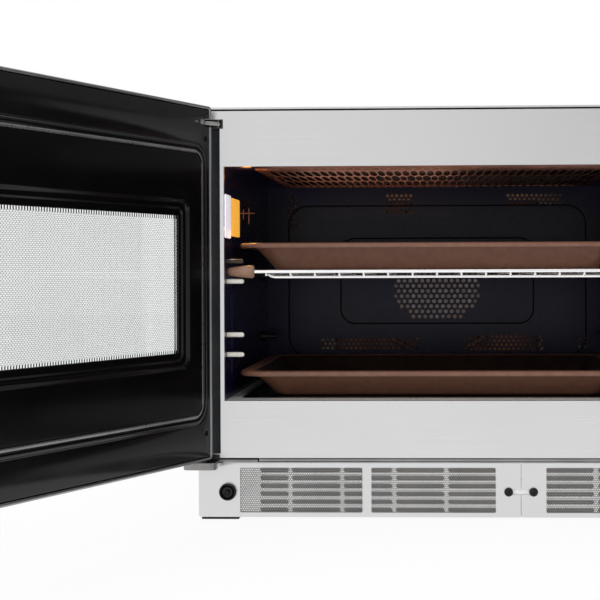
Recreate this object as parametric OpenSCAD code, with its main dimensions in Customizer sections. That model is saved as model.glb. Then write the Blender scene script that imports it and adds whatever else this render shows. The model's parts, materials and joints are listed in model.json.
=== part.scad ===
// Counter-top combination microwave oven with its side-hinged door open
// Millimetres. +Z is up, the front faces -Y, and the origin is on the worktop under the casing's middle

/* [Casing] */
// Depth of the casing
body_d = 484; // [470:2:560]
// Height of the rubber feet
foot_h = 2.5; // [2:0.5:6]
// Width of one rubber foot
foot_w = 37; // [25:1:45]
// Thickness of the casing sheet
sheet_t = 1.2; // [0.8:0.1:2]
// Width of the slanted strip at each front corner
cheek_w = 21.3; // [18:0.1:22]
// How far each front corner is cut back
cheek_d = 15; // [12:1:18]
// Height of the base tray's flanges
tray_flange = 14; // [10:1:20]
// Diameter of the four leg holes in the base tray
leg_hole_d = 8.4; // [6:0.2:10.4]
// Distance of the leg holes from the casing's sides
leg_inset_x = 70; // [60:1:90]
// Distance of the leg holes from the casing's front and back
leg_inset_y = 57; // [45:1:80]
// Gap between the face frame and the casing top
lid_gap = 1.6; // [1:0.1:3]
// Height of the casing top's front lip
lid_lip = 1.8; // [1.5:0.1:4]
// Length of one vent slot
vent_l = 34; // [20:1:40]
// Height of one vent slot
vent_h = 4; // [3:0.5:5]
// Distance from one vent slot to the next
vent_pitch = 9; // [7:0.5:12]
// Diameter of the casing screws' heads
screw_head_d = 8; // [6:0.5:10]
// Diameter of the cord hole in the gland
gland_bore_d = 9; // [7:0.5:11]

/* [Front face] */
// Height of the base panel behind the filter covers
plinth_h = 50.2; // [48:0.1:60]
// Dark gap between the base panel and the face frame
shadow_gap = 4.3; // [4:0.1:8]
// Height of the steel band under the cavity
low_band = 53; // [50:1:70]
// Height of the steel band over the cavity
top_band = 51.6; // [50:0.1:70]
// Thickness of the steel face
face_t = 1.5; // [1:0.1:2]
// Depth of the bright lip round the cavity
lip_d = 6; // [4:0.5:8]

/* [Cavity] */
// Width of the cavity
cavity_w = 396; // [380:1:400]
// Height of the cavity
cavity_h = 218; // [210:1:240]
// Depth of the cavity
cavity_d = 336; // [330:1:345]
// Distance from the casing's left side to the cavity
left_margin = 25; // [24:0.5:30]
// Thickness of the cavity's sheets
wall_t = 1.5; // [1:0.1:2]
// Width of the ceramic floor plate
plate_w = 373; // [340:1:378]
// Depth of the ceramic floor plate
plate_d = 272; // [250:2:300]
// Length of the pressed panel in the cavity's sides
side_pad_l = 196; // [150:2:230]
// Height of the pressed panel in the cavity's sides
side_pad_h = 92; // [70:1:100]
// Thickness of the ceramic floor plate
plate_t = 4; // [3:0.5:5]
// Depth of the antenna's well under the floor plate
well_d = 15; // [13:0.5:16]
// Width of the ceiling grille
grille_w = 360; // [320:2:364]
// Depth of the ceiling grille
grille_d = 280; // [240:2:290]
// Radius of the ceiling grille's corners
grille_r = 80; // [50:1:90]
// Distance between the ceiling grille's holes
grille_pitch = 19; // [17:0.5:24]
// Diameter of the ceiling grille's holes
grille_hole_d = 10; // [7:0.5:12]
// Height of the pressed borders in the back wall
emboss_h = 2; // [1:0.5:3]
// Width of the back wall's outer pressed border
border_w = 345; // [320:1:350]
// Height of the back wall's outer pressed border
border_h = 174; // [160:1:180]
// Width of the back wall's inner pressed border
inner_w = 223; // [200:1:240]
// Height of the back wall's inner pressed border
inner_h = 98; // [94:1:110]
// Width of the fan grille
fan_grille_w = 106; // [90:1:110]
// Height of the fan grille
fan_grille_h = 92; // [80:1:93]
// Distance between the back wall's holes
hole_pitch = 5.5; // [5:0.1:8]
// Diameter of the back wall's holes
hole_d = 3.6; // [2.5:0.1:4]

/* [Lamp] */
// Depth of the lamp screen behind the front
lamp_y = 59; // [57:1:62]
// Width of the lamp screen
lamp_w = 58; // [50:1:60]
// Height of the lamp screen
lamp_h = 37; // [30:1:40]
// Height of the lamp screen over the cavity floor
lamp_z = 155; // [150:1:160]
// Width of the white plate in front of the lamp screen
lamp_plate_w = 43; // [35:1:48]

/* [Rack and pans] */
// Height of the rack's thick wires over the cavity floor
rack_z = 120.2; // [112:0.2:126]
// Distance between the two rack levels
level_gap = 69; // [60:1:75]
// Diameter of the rack's thick wires
wire_d = 3.8; // [3:0.1:4.4]
// Diameter of the rack's thin rods
rod_d = 2.5; // [2:0.1:3]
// Distance between the rack's thin rods
rod_pitch = 23; // [16:0.5:30]
// Distance of the rack's front wire behind the front
rack_inset = 18; // [16:1:22]
// Length of the rack
rack_l = 274; // [260:1:280]
// Diameter of the silicone bumpers
bumper_d = 13; // [11:0.5:14]
// Length of the silicone bumpers
bumper_l = 25; // [20:1:35]
// Diameter of the pegs that carry the rack
peg_d = 4.6; // [4:0.1:5]
// Length of the pegs
peg_l = 14; // [12:0.5:16]
// Width of a pan over its rim
pan_w = 380; // [340:1:382]
// Depth of a pan over its rim
pan_d = 284; // [250:1:286]
// Height of a pan
pan_h = 25.2; // [20:0.2:40]
// Thickness of a pan's sheet
pan_t = 1.2; // [0.8:0.1:1.6]
// Width of a pan's flat rim
rim_w = 12; // [8:1:14]
// Height of a pan's turned-down rim
rim_h = 4.7; // [3.6:0.1:6]
// How far a pan's sides lean out
pan_lean = 19; // [15:1:26]
// Distance of a pan's rim behind the front
pan_inset = 25; // [22:1:30]

/* [Door] */
// How far the door reaches past the cavity's right side
door_lap = 25; // [24:0.5:32]
// Thickness of the door
door_t = 30; // [28:1:32]
// Angle of the open door
door_open = 113.5; // [95:0.5:118]
// Gap between the closed door and the face frame
door_gap = 2; // [1.8:0.1:3]
// How far the door hangs below the face frame
door_drop = 0.6; // [0:0.1:1]
// Distance of the hinge axis from the door's left edge
hinge_in = 5.5; // [5.3:0.1:6]
// Distance of the hinge axis from the door's inner face
hinge_deep = 9.5; // [9:0.1:10]
// Diameter of the hinge pins
pin_d = 4.5; // [3.5:0.1:4.6]
// Thickness of the door skin's turned edges
skin_edge = 2.2; // [1.8:0.1:2.4]
// Thickness of the door skin's front
skin_t = 1.5; // [1:0.1:2]
// Thickness of the pressed black liner
liner_t = 4.5; // [4:0.1:5]
// Height of the liner's pressed border
liner_rise = 1.5; // [1:0.1:2]
// How far the pressed border reaches past the cavity's sides
choke_lap = 13.6; // [12:0.1:16]
// How far the pressed border reaches past the cavity's top and floor
choke_over = 17; // [14:0.5:20]
// Distance of the window's sunk edge inside the cavity's sides
recess_in_x = 11; // [8:0.5:16]
// Distance of the window's sunk edge inside the cavity's top and floor
recess_in_z = 34; // [28:0.5:38]
// Width of the window's sunk edge
recess_w = 16; // [13:0.5:18]
// Thickness of the window's screen
screen_t = 0.6; // [0.5:0.1:1]
// Distance between the screen's holes
screen_pitch = 12; // [11:0.5:15]
// Diameter of the screen's holes
screen_hole_d = 6; // [4:0.5:8]
// Thickness of the door glass
glass_t = 4; // [3:0.5:5]
// Diameter of the handle
handle_d = 18; // [16:1:20]
// Clear gap behind the handle
handle_gap = 32; // [28:1:38]
// Length of the handle
handle_l = 270; // [220:2:300]
// Distance of the handle from the door's free edge
handle_in = 34; // [28:1:45]
// Height of the gap that the latch hooks can lift in
latch_lift = 5; // [4.5:0.1:6]

/* [Filters] */
// Thickness of a filter cover
cover_t = 1.2; // [1:0.1:1.5]
// Gap between a filter cover and what it slides on
cover_gap = 0.4; // [0.3:0.1:0.8]
// Width of the seam between the filter covers
seam_w = 0.6; // [0.4:0.1:1]
// Height of a filter window
window_h = 41.6; // [38:0.2:42]
// Width of the outer filter window
window_1_w = 113.8; // [100:1:116]
// Width of the inner filter window
window_2_w = 115; // [100:1:116]
// Distance of the inner filter window from the seam
window_in = 23.4; // [22:0.1:26]
// Width of the bar between the filter windows
window_bar = 8.4; // [6:0.1:12]
// Distance between a filter cover's holes
mesh_pitch = 6.4; // [6:0.2:8]
// Diameter of a filter cover's holes
mesh_hole_d = 4; // [3:0.1:4.6]
// Height of one slot in the base panel
slot_h = 4.6; // [3:0.1:5]
// Length of one slot in the base panel
slot_l = 45; // [40:0.5:46]
// Distance between two columns of slots
slot_step = 48.3; // [47:0.1:52]
// Distance between two rows of slots
slot_pitch = 7.4; // [6.4:0.1:7.6]
// Diameter of the thumb knobs
knob_d = 16; // [12:0.5:18]
// Distance of the thumb knobs from the casing's sides
knob_in = 28; // [26:0.5:29]
// Height of the thumb knobs over the casing's underside
knob_z = 23.2; // [18:0.1:28]
// Diameter of the seam screws' heads
seam_screw_d = 8.2; // [7:0.1:9]
// Distance of the seam screws from the seam
seam_screw_in = 11.5; // [10:0.5:13]

/* [Controls] */
// Gap between the door and the fascia
fascia_gap = 3; // [2:0.5:5]
// Width of the control fascia
fascia_w = 151; // [145:1:190]
// Width of the touch display
display_w = 104; // [90:1:110]
// Height of the touch display
display_h = 150; // [120:2:170]
// Diameter of the start button
button_d = 30; // [22:1:36]
// Travel of the start button
button_travel = 1.5; // [1:0.1:2.5]

/* [Machinery] */
// Diameter of the convection fan
fan_d = 150; // [120:1:160]
// Depth of the convection fan's blades
blade_w = 24; // [18:1:26]
// Number of convection fan blades
fan_blades = 12; // [8:1:16]
// Depth of the convection housing
housing_d = 45; // [43:1:50]
// Diameter of the heating elements' tubes
element_d = 7; // [6:0.5:8]
// Diameter of the cooling fan
cooler_d = 108; // [90:1:110]
// Number of cooling fan blades
cooler_blades = 7; // [5:1:9]
// Height of the waveguide
guide_h = 40; // [36:1:43]
// Width of the waveguide
guide_w = 86; // [80:1:90]
// Diameter of the antenna
antenna_d = 190; // [150:2:200]
// Diameter of the fan and antenna shafts
shaft_d = 8; // [6:0.5:9]
// Diameter of the convection fan's motor
motor_d = 76; // [60:1:90]
// Length of the convection fan's motor
motor_l = 50; // [42:1:70]
// Diameter of the antenna's motor
turner_d = 50; // [40:1:56]
// Height of the antenna's motor
turner_h = 20; // [18:1:26]
// Distance between the grill element's runs
run_pitch = 44; // [36:1:46]
// Distance of the grill element's bends from the grille's sides
run_in = 38; // [32:1:60]
// Height of the grill element's reflector
reflector_h = 34; // [26:1:44]
// Width of the magnetron
magnetron_w = 84; // [76:1:92]
// Depth of the magnetron
magnetron_d = 76; // [68:1:84]
// Height of the magnetron's cooling block
magnetron_h = 63; // [50:1:74]
// Width of the inverter
inverter_w = 130; // [110:1:140]
// Depth of the inverter
inverter_d = 150; // [120:1:160]
// Height of the inverter
inverter_h = 56; // [45:1:70]

/* [Hidden] */
$fn = 48;
running = 0.05; // radial clearance of a shaft or pin
free = 0.3; // gap under a loose piece

body_w = left_margin + cavity_w + door_lap + fascia_gap + fascia_w;
hw = body_w / 2;
front = -body_d / 2;
back = body_d / 2;
plinth_top = foot_h + plinth_h;
face_z = plinth_top + shadow_gap;
floor_z = face_z + low_band;
ceiling_z = floor_z + cavity_h;
face_top = ceiling_z + top_band;
lid_z = face_top + lid_gap;
body_h = lid_z + lid_lip;
cavity_x0 = left_margin - hw;
cavity_x1 = cavity_x0 + cavity_w;
cavity_cx = (cavity_x0 + cavity_x1) / 2;
cavity_cy = front + cavity_d / 2;
cavity_cz = (floor_z + ceiling_z) / 2;
cavity_back_y = front + cavity_d;
cheek_x = hw - cheek_w;
lip_end = front + lip_d;

tray_t = 1.5;
tray_top = foot_h + tray_t;
base_y = front + cover_t + 2 * cover_gap; // front of the slotted base panel
base_t = 1.5;
base_back = base_y + base_t;
base_hw = cheek_x - 2;
flange_d = 20;
screw_r = 1.95;

notch_low = face_z + 4;
block_h = 8.5;
block_w = 11.3;
block_top = face_top - 7.8;
block_low = block_top - block_h;
block_x1 = cavity_x0 - 0.7;
arm_z = (block_low + block_top) / 2;
arm_d = 4;

door_x0 = -hw;
door_x1 = cavity_x1 + door_lap;
door_z0 = face_z - door_drop;
door_z1 = body_h - 0.4;
door_in = front - door_gap;
door_out = door_in - door_t;
pivot = [door_x0 + hinge_in, door_in - hinge_deep];
pin_r = pin_d / 2;
leaf_left = 15.5;
leaf_right = 14.5;
leaf_top = plinth_top + 2.4;

liner_face = door_in;
liner_back = door_in - liner_rise - liner_t;
liner_x0 = door_x0 + skin_edge + 1;
liner_x1 = door_x1 - skin_edge - 1;
liner_z0 = door_z0 + skin_edge + 1;
liner_z1 = door_z1 - skin_edge - 1;
recess_a = [cavity_x0 + recess_in_x, floor_z + recess_in_z];
recess_b = [cavity_x1 - recess_in_x, ceiling_z - recess_in_z];
window_a = recess_a + [recess_w, recess_w * 0.85];
window_b = recess_b - [recess_w, recess_w * 0.85];
notch_z0 = arm_z - 4.2;
notch_z1 = arm_z + 4.2;

hook_x0 = cavity_x1 + choke_lap + 2.4;
hook_w = 4.6;
hook_h = 7;
hook_z = [floor_z + 35, ceiling_z - 45];
hook_reach = door_gap + face_t + 6;
hook_drop = 3.5;

knob_x = hw - knob_in;
knob_cz = foot_h + knob_z;
stem_r = 2.2;
window_z0 = foot_h + 3.9;
cover_z0 = foot_h - 0.3;
cover_z1 = plinth_top - 0.4;
filter_travel = seam_screw_in + seam_screw_d / 2 + 0.4;

rack_wire_z = floor_z + rack_z;
rod_z = rack_wire_z - wire_d / 2 - rod_d / 2 + 0.25;
low_wire_z = rod_z - rod_d / 2 - 1.1;
rack_front = front + rack_inset;
rack_back = rack_front + rack_l;
rack_hw = cavity_w / 2 - bumper_l - 1.6;
bumper_hw = cavity_w / 2 - 1;
bumper_r = bumper_d / 2;
peg_r = peg_d / 2;
peg_low = bumper_r + free + peg_r;
peg_high = bumper_r + 0.8 + peg_r;
rear_peg_low = wire_d / 2 + free + peg_r;
upper_pan_z = rack_wire_z + wire_d / 2 + free;
lower_pan_z = floor_z + free;

guide_top = floor_z - plate_t - well_d;
guide_low = guide_top - guide_h;
guide_x0 = cavity_cx - 60;
guide_x1 = hw - 65;
guide_t = 1.5;
antenna_z = guide_top + 7;
antenna_shaft_r = shaft_d / 2 - 1;

runs = 6;
run_reach = grille_w / 2 - run_in - run_pitch / 2;
function run_y(i) = cavity_cy + (i - (runs - 1) / 2) * run_pitch;

fan_z = cavity_cz;
housing_front = cavity_back_y + wall_t;
housing_back = housing_front + housing_d;
cooler_x = hw - 90;
cooler_z = floor_z + 60;
shroud_t = 32;
fascia_x0 = door_x1 + fascia_gap;
fascia_t = 2.5;
button_x = (fascia_x0 + hw) / 2;
button_z = face_z + 45;
display_z = face_top - 30 - display_h;
board_y = front - 10;
switch_h = 2;

// A block between two corners
module slab(a, b) translate(a) cube(b - a);

// A flat outline drawn in X and Z, Y and Z or X and Y, and thickened along the third axis
module along_y(y0, y1) translate([0, y1, 0]) rotate([90, 0, 0]) linear_extrude(y1 - y0) children();
module along_x(x0, x1) translate([x0, 0, 0]) rotate([90, 0, 90]) linear_extrude(x1 - x0) children();
module along_z(z0, z1) translate([0, 0, z0]) linear_extrude(z1 - z0) children();

// Cylinders along each axis
module rod_y(x, z, r, y0, y1) translate([x, y0, z]) rotate([-90, 0, 0]) cylinder(h = y1 - y0, r = r);
module rod_x(y, z, r, x0, x1) translate([x0, y, z]) rotate([0, 90, 0]) cylinder(h = x1 - x0, r = r);
module rod_z(x, y, r, z0, z1) translate([x, y, z0]) cylinder(h = z1 - z0, r = r);

module panel(a, b) translate(a) square(b - a);

module round_panel(a, b, r) {
    panel([a.x + r, a.y], [b.x - r, b.y]);
    panel([a.x, a.y + r], [b.x, b.y - r]);
    for (x = [a.x + r, b.x - r], y = [a.y + r, b.y - r]) translate([x, y]) circle(r);
}

module pill(x0, x1, z, h) {
    panel([x0 + h / 2, z - h / 2], [x1 - h / 2, z + h / 2]);
    for (x = [x0 + h / 2, x1 - h / 2]) translate([x, z]) circle(h / 2);
}

// Is a point inside a rectangle with round corners that is centred on c?
function inside_round(p, c, half, r) =
    let (over = [max(abs(p.x - c.x) - half.x + r, 0), max(abs(p.y - c.y) - half.y + r, 0)])
    norm(over) <= r && abs(p.x - c.x) <= half.x && abs(p.y - c.y) <= half.y;

// Is a point inside an octagon?
function inside_octagon(p, c, half, cut) =
    abs(p.x - c.x) <= half.x && abs(p.y - c.y) <= half.y
    && abs(p.x - c.x) + abs(p.y - c.y) <= half.x + half.y - cut;

// Staggered rows of hole centres that fill a rectangle evenly
function hole_grid(a, b, pitch, d) =
    let (
        row = pitch * sqrt(3) / 2,
        rows = floor((b.y - a.y - d) / row),
        columns = floor((b.x - a.x - d) / pitch),
        start = [(a.x + b.x - columns * pitch) / 2, (a.y + b.y - rows * row) / 2]
    )
    [for (j = [0:rows], i = [0:columns - j % 2])
        start + [(i + (j % 2) / 2) * pitch, j * row]];

module punch(points, d) for (p = points) translate(p) circle(d / 2);

// Puts a door piece, drawn closed, where the open door holds it
module on_door() translate(pivot) rotate([0, 0, -door_open]) translate(-pivot) children();

// Casing

module base_tray() color("silver") difference() {
    union() {
        along_z(foot_h, tray_top) polygon([
            [-hw + sheet_t, back - sheet_t], [hw - sheet_t, back - sheet_t],
            [hw - sheet_t, front + cheek_d + 6], [base_hw, base_back],
            [-base_hw, base_back], [-hw + sheet_t, front + cheek_d + 6]
        ]);
        for (s = [0, 1]) mirror([s, 0, 0]) slab([sheet_t - hw, front + cheek_d + 8, foot_h],
            [sheet_t + tray_t - hw, back - sheet_t, foot_h + tray_flange]);
        slab([-hw + sheet_t, back - sheet_t - tray_t, foot_h], [hw - sheet_t, back - sheet_t, foot_h + tray_flange]);
    }
    for (x = [-1, 1], y = [-1, 1])
        rod_z(x * (hw - leg_inset_x), y * (back - leg_inset_y), leg_hole_d / 2, 0, tray_top + 1);
    along_z(0, tray_top + 1) for (i = [-3:3]) translate([i * 40, front + 60]) pill(-vent_l / 2, vent_l / 2, 0, vent_h);
}

// Slotted panel behind the filter covers
module base_front() color([0.42, 0.41, 0.40]) difference() {
    union() {
        slab([-base_hw, base_y, foot_h], [base_hw, base_back, plinth_top]);
        slab([-base_hw, base_y, plinth_top - base_t], [base_hw, base_back + flange_d, plinth_top]);
    }
    along_y(base_y - 1, base_back + 1) for (s = [0, 1]) mirror([s, 0]) {
        for (k = [0:4], j = [0:5]) pill(window_in - 1 + k * slot_step,
            min(window_in - 1 + k * slot_step + slot_l, knob_x - 30),
            window_z0 + slot_h / 2 + j * slot_pitch, slot_h);
        pill(knob_x - stem_r - cover_gap, knob_x + filter_travel + knob_d, knob_cz, 2 * (stem_r + cover_gap));
        translate([seam_screw_in, knob_cz]) circle(screw_r + running);
    }
}

// The front feet reach forward, low, under the filter covers
module feet() color([0.08, 0.08, 0.08]) for (s = [0, 1]) mirror([s, 0, 0]) {
    y0 = front + cheek_d + 4;
    for (y = [y0, back - 8 - foot_w]) along_y(y, y + foot_w)
        polygon([[2 - hw, foot_h], [2 + foot_w - hw, foot_h], [1 + foot_w - hw, 0], [5 - hw, 0]]);
    along_z(0, cover_z0 - cover_gap) panel([3.5 - hw, front + 0.6], [1 + foot_w - hw, y0 + 1]);
}

// Top and sides in one folded sheet
module outer_wrapper() color("gainsboro") difference() {
    union() {
        slab([-hw, front, body_h - sheet_t], [hw, back, body_h]);
        slab([-hw, front, lid_z], [hw, front + sheet_t, body_h]);
        for (s = [0, 1]) mirror([s, 0, 0]) slab([-hw, front + cheek_d, foot_h + 1], [sheet_t - hw, back, body_h]);
    }
    along_x(-hw - 1, hw + 1) for (i = [0:7], y = [60, 110, 160])
        translate([y, face_z + 90 + i * vent_pitch]) pill(-vent_l / 2, vent_l / 2, 0, vent_h);
}

module rear_panel() color("silver") difference() {
    slab([-hw + sheet_t, back - sheet_t, foot_h + 1], [hw - sheet_t, back, body_h - sheet_t]);
    along_y(back - sheet_t - 1, back + 1) {
        for (i = [-5:5], x = [-1, 0, 1]) translate([cooler_x + x * (vent_l + 6), cooler_z + i * vent_pitch])
            pill(-vent_l / 2, vent_l / 2, 0, vent_h);
        for (i = [-3:3], x = [-1, 0, 1]) translate([cavity_cx + x * (vent_l + 6), fan_z + i * vent_pitch])
            pill(-vent_l / 2, vent_l / 2, 0, vent_h);
        translate([cooler_x + 30, foot_h + 40]) circle(gland_bore_d / 2 + 3);
    }
}

module casing_screws() color([0.75, 0.75, 0.77]) {
    for (x = [-1, 0, 1], z = [foot_h + 12, body_h - 14])
        rod_y(x * (hw - 22), z, screw_head_d / 2, back, back + 2);
    for (x = [-1, 1]) rod_y(x * (hw - 22), (foot_h + body_h) / 2, screw_head_d / 2, back, back + 2);
}

// Strain relief for a supply cord
module cord_gland() color([0.1, 0.1, 0.1]) translate([cooler_x + 30, back, foot_h + 40]) rotate([-90, 0, 0])
    difference() {
        union() {
            translate([0, 0, -sheet_t]) cylinder(h = sheet_t + 1, r = gland_bore_d / 2 + 3);
            cylinder(h = 3, r = gland_bore_d / 2 + 6);
            translate([0, 0, 2]) cylinder(h = 10, r1 = gland_bore_d / 2 + 4, r2 = gland_bore_d / 2 + 2.5);
        }
        translate([0, 0, -sheet_t - 1]) cylinder(h = sheet_t + 20, r = gland_bore_d / 2);
    }

// Front face

module face_frame() color([0.84, 0.84, 0.84]) {
    difference() {
        union() {
            along_y(front, front + face_t) difference() {
                panel([-hw, face_z], [hw, face_top]);
                panel([-hw - 1, notch_low], [-cheek_x, block_low]);
                panel([cavity_x0, floor_z], [cavity_x1, ceiling_z]);
                panel([block_x1 - block_w, block_low], [block_x1, block_top]);
                for (z = hook_z) panel([hook_x0 - 1, z - free],
                    [hook_x0 + hook_w + 3, z + hook_h + latch_lift + 1]);
                round_panel([fascia_x0 + 30, button_z - 20], [hw - 30, display_z + display_h], 10);
            }
            along_y(front, lip_end) difference() {
                panel([cavity_x0 - wall_t, floor_z - wall_t], [cavity_x1 + wall_t, ceiling_z + wall_t]);
                panel([cavity_x0, floor_z], [cavity_x1, ceiling_z]);
            }
            slab([-hw, front, face_top - face_t], [hw, front + cheek_d, face_top]);
            slab([sheet_t - hw, front, face_top - face_t], [hw - sheet_t, front + flange_d, face_top]);
            slab([-cheek_x, front, face_z], [hw, front + 12, face_z + face_t]);
            slab([hw - face_t, front, face_z], [hw, front + cheek_d, face_top]);
            slab([-hw, front, block_low], [face_t - hw, front + cheek_d, face_top]);
        }
        slab([-hw - 1, front - 1, block_low], [block_x1, front + lip_d + 1, block_top]);
    }
}

// Dark strip behind the door's hinge side
module hinge_post() color([0.13, 0.13, 0.13]) along_z(notch_low, block_low) polygon([
    [-cheek_x, front + 0.6], [-cheek_x, front + lip_d - 1], [sheet_t - hw, front + cheek_d + 4],
    [sheet_t - hw, front + cheek_d], [0.2 - hw, front + cheek_d], [0.2 - hw, front + cheek_d - 2]
]);

// Black socket that the chrome hinge arm comes out of
module top_hinge_block() color([0.05, 0.05, 0.05]) difference() {
    slab([block_x1 - block_w, front - 1, block_low], [block_x1, front + lip_d, block_top]);
    slab([block_x1 - block_w - 1, front - 2, block_low + 1.4], [block_x1 - 1.6, front + lip_d - 2.5, block_top - 1.4]);
}

module top_hinge_arm() color([0.85, 0.85, 0.86]) {
    anchor = [block_x1 - 4.2, front + lip_d - 2.5 - arm_d / 2 - free];
    span = anchor - pivot;
    translate([pivot.x, pivot.y, arm_z]) rotate([0, 0, atan2(span.y, span.x)]) rotate([0, 90, 0])
        cylinder(h = norm(span), r = arm_d / 2);
    translate([anchor.x, anchor.y, arm_z]) sphere(arm_d / 2 + 0.4);
    rod_z(anchor.x, anchor.y, 1.2, block_low + 1.4, block_top - 1.4);
    rod_z(pivot.x, pivot.y, 4, arm_z - 3.2, arm_z + 3.2);
    rod_z(pivot.x, pivot.y, pin_r, arm_z, notch_z1 + 6);
}

// Bent steel leaf under the door with the lower hinge pin
module bottom_hinge_plate() color([0.78, 0.77, 0.76]) {
    along_z(plinth_top, leaf_top) {
        round_panel([pivot.x - leaf_left, pivot.y - 12], [pivot.x + leaf_right, front + 1], 6);
        panel([pivot.x, front - 6], [pivot.x + leaf_right, base_y]);
        panel([pivot.x, base_y], [pivot.x + 50, base_back + flange_d]);
    }
    along_z(plinth_top - 4, leaf_top - 1) difference() {
        round_panel([pivot.x - leaf_left, pivot.y - 12], [pivot.x + leaf_right, front - 3], 6);
        round_panel([pivot.x - leaf_left + 1.8, pivot.y - 10.2], [pivot.x + leaf_right - 1.8, front + 4], 4.2);
    }
    rod_z(pivot.x, pivot.y, pin_r + 2.5, plinth_top, door_z0 - free);
    rod_z(pivot.x, pivot.y, pin_r, plinth_top, door_z0 + skin_edge + 7);
}

// Cavity

module lamp_hole() translate([front + lamp_y, floor_z + lamp_z]) panel([3, 3], [lamp_w - 3, lamp_h - 3]);

// Left and right wall, each with a long pressed panel
module cavity_side_walls() color([0.09, 0.09, 0.12]) for (s = [0, 1])
    translate([s * 2 * cavity_cx, 0, 0]) mirror([s, 0, 0]) difference() {
        union() {
            slab([cavity_x0 - wall_t, lip_end, floor_z], [cavity_x0, cavity_back_y, ceiling_z]);
            along_x(cavity_x0 - wall_t, cavity_x0 + 1)
                round_panel([front + 46, floor_z + 15], [front + 46 + side_pad_l, floor_z + 15 + side_pad_h], 12);
        }
        if (s == 0) along_x(cavity_x0 - wall_t - 1, cavity_x0 + 1) lamp_hole();
    }

module cavity_ceiling() color([0.09, 0.09, 0.12]) difference() {
    slab([cavity_x0 - wall_t, lip_end, ceiling_z], [cavity_x1 + wall_t, cavity_back_y, ceiling_z + wall_t]);
    along_z(ceiling_z - 1, ceiling_z + wall_t + 1)
        round_panel([cavity_cx - grille_w / 2 + 6, cavity_cy - grille_d / 2 + 6],
            [cavity_cx + grille_w / 2 - 6, cavity_cy + grille_d / 2 - 6], grille_r - 6);
}

module cavity_floor() color([0.11, 0.11, 0.14]) {
    rim = 4;
    px = plate_w / 2 + free;
    py = plate_d / 2 + free;
    difference() {
        union() {
            slab([cavity_x0 - wall_t, lip_end, floor_z - wall_t], [cavity_x1 + wall_t, cavity_back_y, floor_z]);
            slab([cavity_cx - px - rim, cavity_cy - py - rim, guide_top], [cavity_cx + px + rim, cavity_cy + py + rim, floor_z]);
        }
        along_z(floor_z - plate_t, floor_z + 1)
            round_panel([cavity_cx - px, cavity_cy - py], [cavity_cx + px, cavity_cy + py], 6);
        along_z(guide_top + wall_t, floor_z)
            round_panel([cavity_cx - px + 8, cavity_cy - py + 8], [cavity_cx + px - 8, cavity_cy + py - 8], 6);
        rod_z(cavity_cx, cavity_cy, 12, guide_top - 1, floor_z);
    }
}

module floor_plate() color([0.55, 0.55, 0.56]) along_z(floor_z - plate_t, floor_z)
    round_panel([cavity_cx - plate_w / 2, cavity_cy - plate_d / 2],
        [cavity_cx + plate_w / 2, cavity_cy + plate_d / 2], 6);

// Each group of holes in the back wall: left, low, right and high edge from the cavity's middle
hole_groups = [
    [-179, 61, -160, 101], [-62, 78, -26, 102], [81, 86, 146, 103],
    [-137, -82, -20, -65], [32, -82, 124, -63], [163, -81, 180, -64]
];

module cavity_back() color([0.10, 0.10, 0.13]) {
    c = [cavity_cx, cavity_cz];
    fan_half = [fan_grille_w, fan_grille_h] / 2;
    difference() {
        union() {
            slab([cavity_x0 - wall_t, cavity_back_y, floor_z - wall_t], [cavity_x1 + wall_t, cavity_back_y + wall_t, ceiling_z + wall_t]);
            along_y(cavity_back_y - emboss_h, cavity_back_y + wall_t / 2)
                round_panel(c - [border_w, border_h] / 2, c + [border_w, border_h] / 2, 22);
            along_y(cavity_back_y - 2 * emboss_h, cavity_back_y)
                round_panel(c - [inner_w, inner_h] / 2, c + [inner_w, inner_h] / 2, 16);
        }
        along_y(cavity_back_y - 2 * emboss_h - 1, cavity_back_y + wall_t + 1) {
            punch([for (p = hole_grid(c - fan_half, c + fan_half, hole_pitch * 1.25, hole_d))
                if (inside_octagon(p, c, fan_half, 26)) p], hole_d * 1.25);
            for (g = hole_groups)
                punch(hole_grid(c + [g[0], g[1]], c + [g[2], g[3]], hole_pitch, hole_d), hole_d);
        }
    }
}

// Perforated panel under the grill element
module ceiling_grille() color([0.45, 0.24, 0.14]) {
    half = [grille_w, grille_d] / 2;
    c = [cavity_cx, cavity_cy];
    along_z(ceiling_z - 1, ceiling_z) difference() {
        round_panel(c - half, c + half, grille_r);
        punch([for (p = hole_grid(c - half, c + half, grille_pitch, grille_hole_d))
            if (inside_round(p, c, half - [14, 14], grille_r - 14)) p], grille_hole_d);
    }
}

// One bent tube: straight runs joined by half turns, with two ends through the reflector's back
module grill_element() color([0.35, 0.33, 0.32]) {
    r = element_d / 2;
    z = ceiling_z + 14;
    for (i = [0:runs - 1]) rod_x(run_y(i), z, r, cavity_cx - run_reach, cavity_cx + run_reach);
    for (i = [0:runs - 2]) translate([cavity_cx + run_reach * (i % 2 == 0 ? 1 : -1), run_y(i + 0.5), z])
        rotate([0, 0, i % 2 == 0 ? -90 : 90]) rotate_extrude(angle = 180) translate([run_pitch / 2, 0]) circle(r);
    for (i = [0, runs - 1]) {
        translate([cavity_cx - run_reach, run_y(i), z]) sphere(r);
        rod_z(cavity_cx - run_reach, run_y(i), r, z, ceiling_z + wall_t + reflector_h + 8);
    }
}

module grill_reflector() color([0.7, 0.7, 0.7]) {
    half = [grille_w / 2 - 1, grille_d / 2 - 1, 0];
    c = [cavity_cx, cavity_cy, ceiling_z + wall_t];
    difference() {
        slab(c - half, c + half + [0, 0, reflector_h]);
        slab(c - half + [1, 1, -1], c + half + [-1, -1, reflector_h - 1]);
        for (i = [0, runs - 1]) rod_z(cavity_cx - run_reach, run_y(i), element_d / 2 + 0.1, c.z, c.z + reflector_h + 1);
    }
}

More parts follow.
